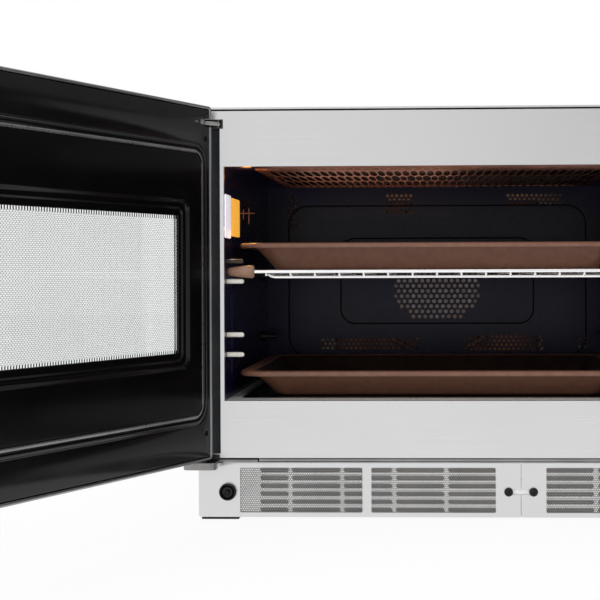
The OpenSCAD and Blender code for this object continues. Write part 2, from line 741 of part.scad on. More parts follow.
// Perforated window that the lamp shines through
module lamp_screen() color([1.0, 0.65, 0.2]) along_x(cavity_x0, cavity_x0 + 0.8) {
    a = [front + lamp_y, floor_z + lamp_z];
    b = a + [lamp_w, lamp_h];
    difference() {
        round_panel(a, b, 3);
        punch(hole_grid(a + [4, 4], b - [4, 4], 6.5, 4), 4);
    }
}

module lamp_plate() color([0.86, 0.85, 0.9]) along_x(cavity_x0, cavity_x0 + 1)
    round_panel([front + lamp_y - lamp_plate_w - 0.5, floor_z + lamp_z - 3],
        [front + lamp_y - 0.5, floor_z + lamp_z + lamp_h + 1], 3);

module lamp_bulb() color([1.0, 0.85, 0.5]) {
    x = cavity_x0 - wall_t - 9;
    z = floor_z + lamp_z + lamp_h / 2;
    y = front + lamp_y;
    rod_y(x, z, 7, y - 7, y + 8);
    rod_y(x, z, 5, y + 8, y + 34);
    translate([x, y + 34, z]) sphere(5);
}

module lamp_housing() color([0.72, 0.72, 0.72]) {
    x1 = cavity_x0 - wall_t;
    x0 = x1 - 19;
    difference() {
        slab([x0, front + lamp_y - 8, floor_z + lamp_z - 6],
            [x1, front + lamp_y + lamp_w + 8, floor_z + lamp_z + lamp_h + 6]);
        slab([x0 + 1, front + lamp_y - 7, floor_z + lamp_z - 5],
            [x1 + 1, front + lamp_y + lamp_w + 7, floor_z + lamp_z + lamp_h + 5]);
    }
}

// Pegs for two rack levels: a pair at the front and a flanged pair at the back, on both walls
module rack_pegs() color([0.93, 0.92, 0.88]) for (s = [0, 1])
    translate([s * 2 * cavity_cx, 0, 0]) mirror([s, 0, 0]) for (level = [0, -level_gap]) {
        z = rack_wire_z + level;
        for (dz = [-peg_low, peg_high]) {
            rod_x(rack_front, z + dz, peg_r, cavity_x0, cavity_x0 + peg_l);
            translate([cavity_x0 + peg_l, rack_front, z + dz]) sphere(peg_r);
        }
        rod_x(rack_back, z - rear_peg_low, peg_r, cavity_x0, cavity_x0 + peg_l);
        rod_x(rack_back, z - rear_peg_low, peg_r + 3.4, cavity_x0, cavity_x0 + 3);
    }

// Convection

module fan_wheel() color([0.7, 0.7, 0.72]) translate([cavity_cx, 0, fan_z]) {
    y0 = housing_front + 5;
    rod_y(0, 0, fan_d / 2 - 2, y0 + blade_w, y0 + blade_w + 1.5);
    rod_y(0, 0, 16, y0 + blade_w - 10, y0 + blade_w + 1);
    rod_y(0, 0, shaft_d / 2, y0 + blade_w, housing_back + 30);
    for (i = [0:fan_blades - 1]) rotate([0, i * 360 / fan_blades, 0])
        slab([30, y0, -0.8], [fan_d / 2 - 4, y0 + blade_w + 0.5, 0.8]);
}

module fan_motor() color([0.55, 0.56, 0.58]) translate([cavity_cx, 0, fan_z]) difference() {
    union() {
        rod_y(0, 0, motor_d / 2, housing_back, housing_back + motor_l - 8);
        rod_y(0, 0, motor_d / 2 - 8, housing_back + motor_l - 10, housing_back + motor_l);
        slab([-motor_d / 2 - 17, housing_back, -12], [motor_d / 2 + 17, housing_back + 3, 12]);
    }
    rod_y(0, 0, shaft_d / 2 + running, housing_back - 1, housing_back + 34);
}

module ring_element() color([0.32, 0.30, 0.30]) translate([cavity_cx, 0, fan_z]) {
    y = housing_front + 18;
    ring_r = fan_d / 2 + 4 + element_d;
    translate([0, y, 0]) rotate([90, 0, 0]) rotate_extrude() translate([ring_r, 0]) circle(element_d / 2);
    for (s = [-1, 1]) rod_y(s * ring_r, 0, element_d / 2, y, housing_back + 10);
}

module fan_housing() color([0.6, 0.6, 0.6]) translate([cavity_cx, 0, fan_z]) {
    ring_r = fan_d / 2 + 4 + element_d;
    hx = ring_r + element_d / 2 + 30;
    hz = ring_r + element_d / 2 + 5;
    difference() {
        slab([-hx, housing_front, -hz], [hx, housing_back, hz]);
        slab([-hx + 1, housing_front - 1, -hz + 1], [hx - 1, housing_back - 1, hz - 1]);
        rod_y(0, 0, shaft_d / 2 + 1, housing_front, housing_back + 1);
        for (s = [-1, 1]) rod_y(s * ring_r, 0, element_d / 2 + 0.1, housing_front, housing_back + 1);
    }
}

// Microwave source

module waveguide() color([0.75, 0.75, 0.75]) difference() {
    y0 = cavity_cy - guide_w / 2;
    slab([guide_x0, y0, guide_low], [guide_x1, y0 + guide_w, guide_top]);
    slab([guide_x0 + guide_t, y0 + guide_t, guide_low + guide_t],
        [guide_x1 - guide_t, y0 + guide_w - guide_t, guide_top - guide_t]);
    rod_z(cavity_cx, cavity_cy, 12, guide_top - 5, guide_top + 1);
    rod_z(cavity_cx, cavity_cy, antenna_shaft_r + 1, guide_low - 1, guide_low + 5);
    rod_z(guide_x1 - 45, cavity_cy, 15, guide_top - 5, guide_top + 1);
}

module magnetron() color([0.62, 0.62, 0.64]) {
    half = [magnetron_w, magnetron_d] / 2;
    fins = floor((magnetron_h - 12) / 7) - 1;
    translate([guide_x1 - 45, cavity_cy, guide_top]) {
        rod_z(0, 0, 9, -24, 2);
        rod_z(0, 0, 24, 2, magnetron_h - 1);
        slab([-half.x, -half.y, 0], [half.x, half.y, 3]);
        slab([-half.x, -half.y, magnetron_h - 3], [half.x, half.y, magnetron_h]);
        for (i = [0:fins]) slab([4 - half.x, 5 - half.y, 10 + i * 7], [half.x - 4, half.y - 5, 11 + i * 7]);
        for (s = [0, 1]) mirror([s, 0, 0]) slab([-half.x, -half.y, 2], [4 - half.x, half.y, magnetron_h - 2]);
        slab([-20, 4 - half.y, magnetron_h - 1], [20, -4, magnetron_h + 21]);
    }
}

// Slotted disc that turns under the floor plate
module antenna() color([0.8, 0.8, 0.82]) translate([cavity_cx, cavity_cy, 0]) {
    difference() {
        rod_z(0, 0, min(antenna_d, plate_d - 30) / 2, antenna_z, antenna_z + 1.2);
        for (a = [0:72:359]) rotate([0, 0, a]) translate([45, 0, 0]) along_z(antenna_z - 1, antenna_z + 3)
            pill(0, 34, 0, 14);
    }
    rod_z(0, 0, 10, antenna_z - 2, antenna_z + 3);
    rod_z(0, 0, antenna_shaft_r, guide_low - turner_h + 6, antenna_z);
}

module antenna_motor() color([0.68, 0.66, 0.6]) translate([cavity_cx, cavity_cy, 0]) difference() {
    union() {
        rod_z(0, 0, turner_d / 2, guide_low - turner_h, guide_low);
        slab([-turner_d / 2 - 9, -6, guide_low - 2], [turner_d / 2 + 9, 6, guide_low]);
    }
    rod_z(0, 0, antenna_shaft_r + running, guide_low - turner_h + 4, guide_low + 1);
}

// High-voltage supply on the base tray
module inverter() color([0.2, 0.35, 0.2])
    translate([hw - 20 - inverter_w, cavity_cy + guide_w / 2 + 20, tray_top]) {
        core = [inverter_w * 0.45, inverter_d * 0.4];
        slab([0, 0, 0], [inverter_w, inverter_d, 8]);
        slab([12, 12, 6], [12 + core.x, 12 + core.y, inverter_h]);
        slab([26 + core.x, 12, 6], [inverter_w - 8, 12 + core.y, 12]);
        for (i = [0:6]) slab([26 + core.x, 12 + i * (core.y - 3) / 6, 6],
            [inverter_w - 8, 15 + i * (core.y - 3) / 6, inverter_h - 8]);
        for (x = [0.25, 0.6]) rod_z(inverter_w * x, inverter_d - 38, 15, 7, inverter_h - 12);
    }

// Cooling

module cooling_fan() color([0.12, 0.12, 0.12]) translate([cooler_x, 0, cooler_z]) {
    y0 = back - sheet_t - shroud_t + 3;
    rod_y(0, 0, 20, y0, y0 + 18);
    rod_y(0, 0, 2.5, y0 + 15, back - sheet_t - 2);
    intersection() {
        rod_y(0, 0, cooler_d / 2, y0, y0 + 20);
        for (i = [0:cooler_blades - 1]) rotate([0, i * 360 / cooler_blades, 0]) translate([0, y0 + 10, 0])
            rotate([38, 0, 0]) slab([17, -1, -13], [cooler_d / 2 + 5, 1, 13]);
    }
}

module cooling_shroud() color([0.2, 0.2, 0.22]) translate([cooler_x, 0, cooler_z]) {
    y1 = back - sheet_t;
    y0 = y1 - shroud_t;
    half = cooler_d / 2 + 6;
    difference() {
        union() {
            difference() {
                slab([-half, y0, -half], [half, y1, half]);
                rod_y(0, 0, cooler_d / 2 + 2, y0 - 1, y1 + 1);
            }
            rod_y(0, 0, 19, y1 - 5, y1);
            for (a = [45:90:359]) rotate([0, a, 0]) slab([15, y1 - 4, -3], [cooler_d / 2 + 4, y1, 3]);
        }
        rod_y(0, 0, 2.5 + running, y1 - 6, y1 - 1.5);
    }
}

// Controls

module control_fascia() color([0.06, 0.06, 0.06]) difference() {
    slab([fascia_x0, door_out, face_z], [hw, front, body_h - 0.4]);
    slab([fascia_x0 + fascia_t, door_out + fascia_t, face_z + fascia_t], [hw - fascia_t, front + 1, body_h - 0.4 - fascia_t]);
    along_y(door_out - 1, front - 5)
        round_panel([button_x - display_w / 2, display_z], [button_x + display_w / 2, display_z + display_h], 4);
    rod_y(button_x, button_z, button_d / 2 + 0.3, door_out - 1, front - 5);
}

module touch_display() color([0.12, 0.14, 0.17]) {
    along_y(door_out, door_out + fascia_t + 1)
        round_panel([button_x - display_w / 2, display_z], [button_x + display_w / 2, display_z + display_h], 4);
    slab([button_x - display_w / 2 - 3, door_out + fascia_t, display_z - 3],
        [button_x + display_w / 2 + 3, door_out + fascia_t + 4, display_z + display_h + 3]);
}

module start_button() color([0.75, 0.75, 0.76]) {
    y1 = door_out + fascia_t + 3;
    rod_y(button_x, button_z, button_d / 2, door_out - button_travel - 1, y1);
    rod_y(button_x, button_z, button_d / 2 + 3, door_out + fascia_t + free, y1);
    rod_y(button_x, button_z, 4, y1, board_y - switch_h - button_travel - free);
}

module control_board() color([0.1, 0.35, 0.15]) {
    slab([fascia_x0 + fascia_t, board_y, face_z + 12], [hw - fascia_t, board_y + 1.6, body_h - 20]);
    for (i = [-1:1]) slab([button_x - 8 + i * 28, board_y + 1, display_z + 20],
        [button_x + 8 + i * 28, board_y + 8, display_z + 50]);
    slab([button_x - 6, board_y - switch_h, button_z - 6], [button_x + 6, board_y + 1, button_z + 6]);
}

// Two switches behind the face frame that the latch hooks press
module interlock_switches() color([0.15, 0.15, 0.16]) {
    x0 = cavity_x1 + wall_t;
    slab([x0, front + face_t, hook_z[0] - 20], [x0 + 1.5, front + 44, hook_z[1] + 30]);
    for (z = hook_z) slab([x0 + 1, front + face_t + hook_reach + 4, z - 8], [x0 + 18, front + 40, z + 14]);
}

// Door

// Steel pan with turned edges and a window for the glass
module door_skin() color([0.80, 0.80, 0.80]) on_door() difference() {
    slab([door_x0, door_out, door_z0], [door_x1, door_in - 0.6, door_z1]);
    slab([door_x0 + skin_edge, door_out + skin_t, door_z0 + skin_edge], [door_x1 - skin_edge, door_in, door_z1 - skin_edge]);
    along_y(door_out - 1, door_out + skin_t + 1) round_panel(recess_a, recess_b, 10);
    slab([door_x0 - 1, pivot.y - 5.2, notch_z0], [pivot.x + 3, door_in, notch_z1]);
    rod_z(pivot.x, pivot.y, pin_r + 0.4, door_z0 - 1, door_z0 + skin_edge + 1);
}

module door_glass() color([0.75, 0.78, 0.8, 0.4]) on_door()
    along_y(door_out + skin_t, door_out + skin_t + glass_t)
        round_panel(recess_a - [14, 14], recess_b + [14, 14], 6);

module door_screen() color([0.2, 0.2, 0.2]) on_door() along_y(liner_back - screen_t, liner_back) difference() {
    panel(window_a - [10, 10], window_b + [10, 10]);
    punch(hole_grid(window_a, window_b, screen_pitch, screen_hole_d), screen_hole_d);
}

// Black pressed panel that faces the cavity
module door_liner() color([0.05, 0.05, 0.05]) on_door() difference() {
    union() {
        along_y(liner_back, liner_face - liner_rise) panel([liner_x0, liner_z0], [liner_x1, liner_z1]);
        along_y(liner_face - liner_rise - 1, liner_face)
            round_panel([cavity_x0 - choke_lap, floor_z - choke_over], [cavity_x1 + choke_lap, ceiling_z + choke_over], 17);
    }
    along_y(liner_back + 2, liner_face + 1) round_panel(recess_a, recess_b, 10);
    along_y(liner_back - 1, liner_face + 1) round_panel(window_a, window_b, 3);
    slab([liner_x0 - 1, liner_back - 1, notch_z0], [pivot.x + 14, liner_face + 1, notch_z1]);
    for (z = hook_z) slab([hook_x0 - 0.6, liner_back - 1, z - hook_drop - 0.6],
        [hook_x0 + hook_w + 0.6, liner_face + 1, z + hook_h + latch_lift + 0.6]);
    for (p = door_screw_points()) rod_y(p.x, p.y, 2.6, liner_back - 1, liner_face + 1);
}

// Folded steel channel that stiffens the door between skin and liner
module door_frame() color([0.5, 0.5, 0.52]) on_door() {
    a = [door_x0 + skin_edge + 14, door_z0 + skin_edge + 4];
    b = [hook_x0 - 5, door_z1 - skin_edge - 4];
    along_y(door_out + skin_t, liner_back) difference() {
        panel(a, b);
        panel(a + [1.2, 1.2], b - [1.2, 1.2]);
    }
}

// Blocks in the door's hinge corners that the pins turn in
module door_hinge_blocks() color([0.4, 0.4, 0.42]) on_door() for (z = [[notch_z1, notch_z1 + 8],
        [door_z0 + skin_edge, door_z0 + skin_edge + 10]]) difference() {
    slab([door_x0 + skin_edge, pivot.y - 6, z[0]], [pivot.x + 7, liner_back, z[1]]);
    rod_z(pivot.x, pivot.y, pin_r + running, z[0] - 1, z[1] - 1);
}

function door_screw_points() = [for (x = [liner_x0 + 6.5, liner_x1 - 4.2], z = [floor_z - 28, ceiling_z + 24]) [x, z]];

module door_screws() color([0.1, 0.1, 0.1]) on_door() for (p = door_screw_points())
    rod_y(p.x, p.y, 2.5, liner_back + 0.5, liner_face - liner_rise - 0.5);

module door_handle() color([0.82, 0.82, 0.83]) on_door() {
    x = door_x1 - handle_in;
    y = door_out - handle_gap - handle_d / 2;
    z = (door_z0 + door_z1) / 2;
    rod_z(x, y, handle_d / 2, z - handle_l / 2, z + handle_l / 2);
    for (s = [-1, 1]) rod_y(x, z + s * (handle_l / 2 - 22), 6, y, door_out);
}

// Two hooks on one sliding bar
module latch_hooks() color([0.3, 0.3, 0.32]) on_door() {
    y0 = liner_back - 4.5;
    slab([hook_x0, y0, hook_z[0] - 14], [hook_x0 + hook_w, liner_back - free, hook_z[1] + 22]);
    for (z = hook_z) {
        slab([hook_x0, y0, z], [hook_x0 + hook_w, door_in + hook_reach, z + hook_h]);
        along_x(hook_x0, hook_x0 + hook_w) polygon([
            [door_in + hook_reach - 4, z - hook_drop], [door_in + hook_reach, z + 1],
            [door_in + hook_reach - 2, z + hook_h], [door_in + hook_reach - 4, z + hook_h]
        ]);
    }
}

// Air filters

// Left cover with two perforated windows, folded round the casing's corner
module filter_cover() difference() {
    along_z(cover_z0, cover_z1) polygon([
        [-seam_w / 2, front], [1.3 - hw, front], [0.5 - hw, front + 0.8],
        [0.5 - hw, front + cheek_d - cover_gap], [0.5 + cover_t - hw, front + cheek_d - cover_gap],
        [0.5 + cover_t - hw, front + cover_t], [-seam_w / 2, front + cover_t]
    ]);
    along_y(front - 1, front + cover_t + 1) {
        for (w = [[-window_in - window_2_w, -window_in],
                [-window_in - window_2_w - window_bar - window_1_w, -window_in - window_2_w - window_bar]])
            punch(hole_grid([w[0], window_z0], [w[1], window_z0 + window_h], mesh_pitch, mesh_hole_d), mesh_hole_d);
        translate([-seam_screw_in, knob_cz]) circle(2.7);
        panel([-seam_screw_in, knob_cz - 2.7], [1, knob_cz + 2.7]);
        translate([-knob_x, knob_cz]) circle(stem_r + running);
        panel([-5, cover_z0 - 1], [1, cover_z0 + 2.2]);
    }
}

module filter_left() color([0.80, 0.80, 0.80]) filter_cover();
module filter_right() color([0.80, 0.80, 0.80]) mirror([1, 0, 0]) filter_cover();

// Captive thumb knob: dome, stem and a collar behind the base panel
module knob(side) color([0.04, 0.04, 0.04]) translate([side * knob_x, 0, knob_cz]) {
    y = front - 0.2;
    rod_y(0, 0, knob_d / 2, y - 3, y);
    translate([0, y - 3, 0]) rotate([90, 0, 0]) rotate_extrude() intersection() {
        translate([0, -10]) circle(sqrt(100 + knob_d * knob_d / 4));
        panel([0, 0], [knob_d / 2, 10]);
    }
    rod_y(0, 0, stem_r, y - 1, base_back + 3);
    rod_y(0, 0, stem_r + 2.2, base_back + cover_gap, base_back + cover_gap + 2);
}

module knob_left() knob(-1);
module knob_right() knob(1);

module seam_screws() color([0.05, 0.05, 0.05]) for (s = [-1, 1]) {
    rod_y(s * seam_screw_in, knob_cz, seam_screw_d / 2, front - 2, front - 0.2);
    rod_y(s * seam_screw_in, knob_cz, screw_r, front - 1, base_back + 6);
    rod_y(s * seam_screw_in, knob_cz, 2.5, base_y - 0.3, base_y);
}

// Rack and pans

module wire_rack() color([0.92, 0.92, 0.95]) translate([cavity_cx, 0, 0]) {
    rods = floor(2 * (rack_hw - 8) / rod_pitch);
    ends = [bumper_hw - 2, rack_hw + 12, rack_hw + 12, rack_hw + 12, bumper_hw - 4];
    for (i = [0:4]) rod_x(rack_front + i * rack_l / 4, rack_wire_z, wire_d / 2, -ends[i], ends[i]);
    for (i = [0:rods]) translate([(i - rods / 2) * rod_pitch, rack_front - 1, rod_z]) rotate([-90, 22.5, 0])
        cylinder(h = rack_l + 2, r = rod_d / 2, $fn = 8);
    for (y = [rack_front + 12, rack_back - 12]) rod_x(y, low_wire_z, 1.6, 14 - rack_hw, rack_hw - 14);
}

module rack_bumpers() color([0.62, 0.45, 0.35]) translate([cavity_cx, 0, 0]) for (s = [0, 1]) mirror([s, 0, 0])
    difference() {
        rod_x(rack_front, rack_wire_z, bumper_r, -bumper_hw, -bumper_hw + bumper_l);
        rod_x(rack_front, rack_wire_z, wire_d / 2 + 0.1, -bumper_hw + 1.5, -bumper_hw + bumper_l + 1);
    }

// Rectangle with round corners, centred on the pan, h above its bottom and grown by g
module pan_slice(h, g, r) translate([cavity_cx, front + pan_inset + pan_d / 2, h])
    linear_extrude(0.01) round_panel(-[pan_w / 2 + g, pan_d / 2 + g], [pan_w / 2 + g, pan_d / 2 + g], r);

module pan(z) color([0.38, 0.24, 0.20]) translate([0, 0, z]) difference() {
    union() {
        hull() {
            pan_slice(0, -rim_w - pan_lean, 14);
            pan_slice(pan_h - 0.01, -rim_w, 20);
        }
        translate([0, 0, pan_h - 1.2]) linear_extrude(1.2) translate([cavity_cx, front + pan_inset + pan_d / 2])
            round_panel(-[pan_w, pan_d] / 2, [pan_w, pan_d] / 2, 26);
        translate([0, 0, pan_h - rim_h]) linear_extrude(rim_h) translate([cavity_cx, front + pan_inset + pan_d / 2])
            difference() {
                round_panel(-[pan_w, pan_d] / 2, [pan_w, pan_d] / 2, 26);
                round_panel(-[pan_w, pan_d] / 2 + [1.4, 1.4], [pan_w, pan_d] / 2 - [1.4, 1.4], 24.6);
            }
    }
    hull() {
        pan_slice(pan_t, -rim_w - pan_lean - pan_t, 13);
        pan_slice(pan_h + 1, -rim_w - pan_t, 19);
    }
}

module upper_pan() pan(upper_pan_z);
module lower_pan() pan(lower_pan_z);

base_tray();
base_front();
feet();
outer_wrapper();
rear_panel();
casing_screws();
cord_gland();
face_frame();
hinge_post();
top_hinge_block();
top_hinge_arm();
bottom_hinge_plate();
cavity_side_walls();
cavity_ceiling();
cavity_floor();
cavity_back();
floor_plate();
ceiling_grille();
grill_element();
grill_reflector();
lamp_screen();
lamp_plate();
lamp_bulb();
lamp_housing();
rack_pegs();
fan_wheel();
fan_motor();
ring_element();
fan_housing();
magnetron();
waveguide();
antenna();
antenna_motor();
inverter();
cooling_fan();
cooling_shroud();
control_fascia();
touch_display();
start_button();
control_board();
interlock_switches();
door_skin();
door_glass();
door_screen();
door_liner();
door_frame();
door_hinge_blocks();
door_screws();
door_handle();
latch_hooks();
filter_left();
filter_right();
knob_left();
knob_right();
seam_screws();
wire_rack();
rack_bumpers();
upper_pan();
lower_pan();
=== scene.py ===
# Combination microwave oven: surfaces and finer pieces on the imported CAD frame.
# Lengths in the dictionaries are in millimetres, in the frame's own axes.
import json
from math import cos, hypot, pi, radians, sin, sqrt

import bmesh
import bpy
from mathutils import Matrix, Vector


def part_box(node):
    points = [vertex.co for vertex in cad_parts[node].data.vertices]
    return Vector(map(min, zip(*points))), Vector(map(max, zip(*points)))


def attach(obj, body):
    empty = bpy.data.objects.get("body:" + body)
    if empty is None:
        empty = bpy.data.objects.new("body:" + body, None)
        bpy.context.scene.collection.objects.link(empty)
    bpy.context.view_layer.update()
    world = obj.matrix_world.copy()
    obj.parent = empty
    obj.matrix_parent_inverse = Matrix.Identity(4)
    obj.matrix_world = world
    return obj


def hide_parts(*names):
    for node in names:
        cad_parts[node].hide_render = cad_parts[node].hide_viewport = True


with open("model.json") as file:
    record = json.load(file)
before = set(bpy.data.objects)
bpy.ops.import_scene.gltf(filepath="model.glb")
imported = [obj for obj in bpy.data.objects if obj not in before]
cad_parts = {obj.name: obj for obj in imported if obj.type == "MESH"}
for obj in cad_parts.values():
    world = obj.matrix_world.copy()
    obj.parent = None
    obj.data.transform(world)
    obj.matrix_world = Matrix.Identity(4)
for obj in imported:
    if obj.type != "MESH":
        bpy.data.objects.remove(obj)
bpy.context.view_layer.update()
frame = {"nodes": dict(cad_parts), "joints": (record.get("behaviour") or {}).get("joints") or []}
nodes = frame["nodes"]
scene = bpy.context.scene
mm = 0.001
perMetre = 1000  # turns a pattern's size in mm into its scale
leastRadius = 0.01  # mm, least radius of a turned form and of a round corner
inward, outward, upward = (0, 1, 0), (0, -1, 0), (0, 0, 1)
print("frame loaded")


# sRGB hex to the linear colour that the nodes want
def hexToLinear(code):
    parts = [int(code[i:i + 2], 16) / 255 for i in (1, 3, 5)]
    return [c / 12.92 if c <= 0.04045 else ((c + 0.055) / 1.055) ** 2.4 for c in parts] + [1]


# Fills an input with a number, a colour code, another node's output or a node's first output
def setInput(tree, socket, value):
    if isinstance(value, bpy.types.Node):
        value = value.outputs[0]
    if isinstance(value, bpy.types.NodeSocket):
        tree.links.new(value, socket)
    else:
        socket.default_value = hexToLinear(value) if isinstance(value, str) else value


# Adds one shader node with its settings and inputs, and the two stops of a ramp
def addNode(tree, kind, inputs=None, ramp=None, **settings):
    node = tree.nodes.new("ShaderNode" + kind)
    for key, value in settings.items():
        setattr(node, key, value)
    for key, value in (inputs or {}).items():
        setInput(tree, node.inputs[key], value)
    for i, (position, code) in enumerate(ramp or []):
        stop = node.color_ramp.elements[i]
        stop.position, stop.color = position, hexToLinear(code)
    return node


# One finish: two shades drift over the blotch size, a grain sets roughness and relief.
# Sizes are in mm; a grain of three sizes is longer along one axis, as brushing is. Grit and speckle
# finer than about 1 mm are drawn at 0.9 to 1.6 mm, as they wouldn't show otherwise.
# Keys that begin with a capital go to the shader.
def makeFinish(name, look):
    material = bpy.data.materials.new(name)
    material.use_nodes = True
    tree = material.node_tree
    shader = tree.nodes["Principled BSDF"]
    where = addNode(tree, "TexCoord").outputs["Object"]
    drift = addNode(tree, "TexNoise", {
        "Vector": where, "Scale": perMetre / look["blotch"], "Detail": 3})
    shade = addNode(tree, "ValToRGB", {"Fac": drift.outputs["Fac"]},
                    ramp=[(0.35, look["shades"][0]), (0.65, look["shades"][1])])
    size = look["grain"] if isinstance(look["grain"], tuple) else (look["grain"],) * 3
    stretch = addNode(tree, "Mapping", {"Vector": where, "Scale": [perMetre / s for s in size]})
    grain = addNode(tree, "TexNoise", {"Vector": stretch, "Scale": 1, "Detail": 2})
    rough = addNode(tree, "MapRange", {
        "Value": grain.outputs["Fac"], "From Min": 0.3, "From Max": 0.7,
        "To Min": look["rough"][0], "To Max": look["rough"][1]})
    relief = addNode(tree, "Bump", {
        "Height": grain.outputs["Fac"], "Distance": look.get("relief", 0.01) * mm})
    for key, value in {"Base Color": shade, "Roughness": rough, "Normal": relief, **look}.items():
        if key in shader.inputs:
            setInput(tree, shader.inputs[key], value)
    return material


# Lays a colour pattern over a finish, by its first colour channel where a ramp takes a colour
def addPattern(material, kind, inputs, output, ramp=None, socket="Base Color"):
    tree = material.node_tree
    where = addNode(tree, "TexCoord").outputs["Object"]
    colour = addNode(tree, kind, {"Vector": where, **inputs}).outputs[output]
    if ramp and output == "Color":
        colour = addNode(tree, "SeparateColor", {"Color": colour})
    if ramp:
        colour = addNode(tree, "ValToRGB", {"Fac": colour}, ramp=ramp)
    setInput(tree, tree.nodes["Principled BSDF"].inputs[socket], colour)


# Stainless sheet, brushed along its length: soft streaked reflections
brushedSteel = makeFinish("brushed_stainless", {
    "shades": ("#dcdcdd", "#dedede"), "blotch": 90, "grain": (140, 1, 1), "rough": (0.27, 0.36),
    "relief": 0.004, "Metallic": 1})
# Blackened steel of the hinge post: dark grey with a soft grind along its height. It is also laid on the
# bottom hinge plate as painted shadow.
blackenedSteelAndShade = makeFinish("blackened_steel_and_painted_shade", {
    "shades": ("#2c2d2f", "#353638"), "blotch": 30, "grain": (1.6, 1.6, 60), "rough": (0.32, 0.42),
    "relief": 0.003, "Metallic": 1})
# Mill-finish aluminium of the filter mesh and the hinge arm: dull and pale, without clear reflections
millAluminium = makeFinish("mill_aluminium", {
    "shades": ("#969593", "#a3a2a0"), "blotch": 25, "grain": 1, "rough": (0.4, 0.5), "Metallic": 1})
# Rolled edge of the door's skin in darker steel, a painted shade for the dark it mirrors: a greyer line round
# the door
shadedRimSteel = makeFinish("painted_shade_door_rim", {
    "shades": ("#8f9092", "#9b9c9e"), "blotch": 40, "grain": (60, 1.6, 60), "rough": (0.3, 0.4),
    "relief": 0.003, "Metallic": 1})
# Tumbled steel of the bottom hinge plate: zinc grey, worn smooth, with soft highlights
tumbledSteel = makeFinish("tumbled_steel", {
    "shades": ("#868482", "#959391"), "blotch": 15, "grain": 1.5, "rough": (0.28, 0.4), "Metallic": 1})
# Pressed mica plate beside the lamp, lit through from behind: an even lilac white
litMica = makeFinish("lit_mica", {
    "shades": ("#e8e4ee", "#f2eff6"), "blotch": 8, "grain": 1.2, "rough": (0.4, 0.55), "relief": 0.02,
    "Emission Color": "#f3efff", "Emission Strength": 0.5})
# Blasted steel of the cavity floor and the base panel: pale, matt, hardly mirrors
blastedSteel = makeFinish("blasted_steel", {
    "shades": ("#f0f0f1", "#f6f6f6"), "blotch": 25, "grain": 1.4, "rough": (0.25, 0.38), "relief": 0.015,
    "Metallic": 0.4})
# Lighter metal on the liner's pressed ridge, a painted highlight whose gloss also catches the light: a thin
# line that catches the light
ridgeHighlight = makeFinish("painted_ridge_highlight", {
    "shades": ("#77787a", "#858688"), "blotch": 30, "grain": 3, "rough": (0.25, 0.35), "relief": 0.004,
    "Metallic": 0.85})
# Punched grille sheet, tinted by heat: copper brown with a satin sheen
tintedSteel = makeFinish("heat_tinted_steel", {
    "shades": ("#8a5f4f", "#a07262"), "blotch": 30, "grain": 1.6, "rough": (0.3, 0.45), "Metallic": 0.6})
# Turned and polished steel: clear bright reflections with faint turning marks
polishedSteel = makeFinish("polished_steel", {
    "shades": ("#dcdcde", "#e6e6e8"), "blotch": 20, "grain": (6, 6, 0.8), "rough": (0.12, 0.2),
    "relief": 0.003, "Metallic": 1})
# Drawn wire with bright chrome: near mirror
chromedWire = makeFinish("chromed_wire", {
    "shades": ("#f8f8fb", "#ffffff"), "blotch": 15, "grain": 2.5, "rough": (0.1, 0.18), "relief": 0.004,
    "Metallic": 1})
# Zinc plated steel of motors and screws: dull blue-grey
platedSteel = makeFinish("zinc_plated_steel", {
    "shades": ("#9da2a6", "#b4b6b6"), "blotch": 14, "grain": 1.2, "rough": (0.35, 0.5), "Metallic": 1})
# Die-cast and sheet aluminium, unpainted: pale and matt
castAluminium = makeFinish("cast_aluminium", {
    "shades": ("#c6c8ca", "#d2d3d4"), "blotch": 25, "grain": 1, "rough": (0.35, 0.5), "relief": 0.02,
    "Metallic": 1})
# Drawn heater sheath, oxidised by heat: dark brown-grey, dull
heaterSheath = makeFinish("oxidised_heater_sheath", {
    "shades": ("#3f3835", "#5c5350"), "blotch": 30, "grain": 1.5, "rough": (0.4, 0.55), "Metallic": 1})
# Vitreous enamel fired on steel: dark, slightly blue, with fine flecks and a soft gloss
firedEnamel = makeFinish("fired_enamel", {
    "shades": ("#10102c", "#151536"), "blotch": 40, "grain": 1.6, "rough": (0.2, 0.3),
    "Specular IOR Level": 0.2})
# The same enamel, darker, as painted shade in the back wall's pressed steps
shadedEnamel = makeFinish("painted_shade_enamel", {
    "shades": ("#050506", "#070709"), "blotch": 20, "grain": 1.6, "rough": (0.5, 0.6),
    "Specular IOR Level": 0.1})
# Stoved paint on the door liner: black, smooth, with a hint of orange peel
stovedPaint = makeFinish("stoved_gloss_paint", {
    "shades": ("#0c0c0d", "#101011"), "blotch": 60, "grain": 4, "rough": (0.12, 0.18), "relief": 0.006,
    "Specular IOR Level": 0.28})
# The liner's middle, black and deeper, hardly mirrors
deepPaint = makeFinish("stoved_satin_paint", {
    "shades": ("#060607", "#09090a"), "blotch": 60, "grain": 4, "rough": (0.16, 0.24), "relief": 0.006,
    "Specular IOR Level": 0.06})
# Baked non-stick on drawn aluminium: chocolate brown with a fine speckle and satin gloss
bakedNonStick = makeFinish("baked_non_stick", {
    "shades": ("#724e3e", "#7c5644"), "blotch": 8, "grain": 0.9, "rough": (0.34, 0.44), "relief": 0.006,
    "Specular IOR Level": 0.5})
# Baked non-stick inside a pan, darkened as painted shade where the upper pan and the ceiling keep the light
# off: almost black brown
shadedNonStick = makeFinish("painted_shade_non_stick", {
    "shades": ("#2a1c19", "#352420"), "blotch": 12, "grain": 0.9, "rough": (0.4, 0.55), "relief": 0.015,
    "Specular IOR Level": 0.25})
# Moulded and polished ABS of the knobs: black with small clear highlights
polishedPlastic = makeFinish("polished_abs", {
    "shades": ("#0b0b0c", "#0f0f10"), "blotch": 20, "grain": 2, "rough": (0.12, 0.2), "relief": 0.004,
    "Specular IOR Level": 0.3})
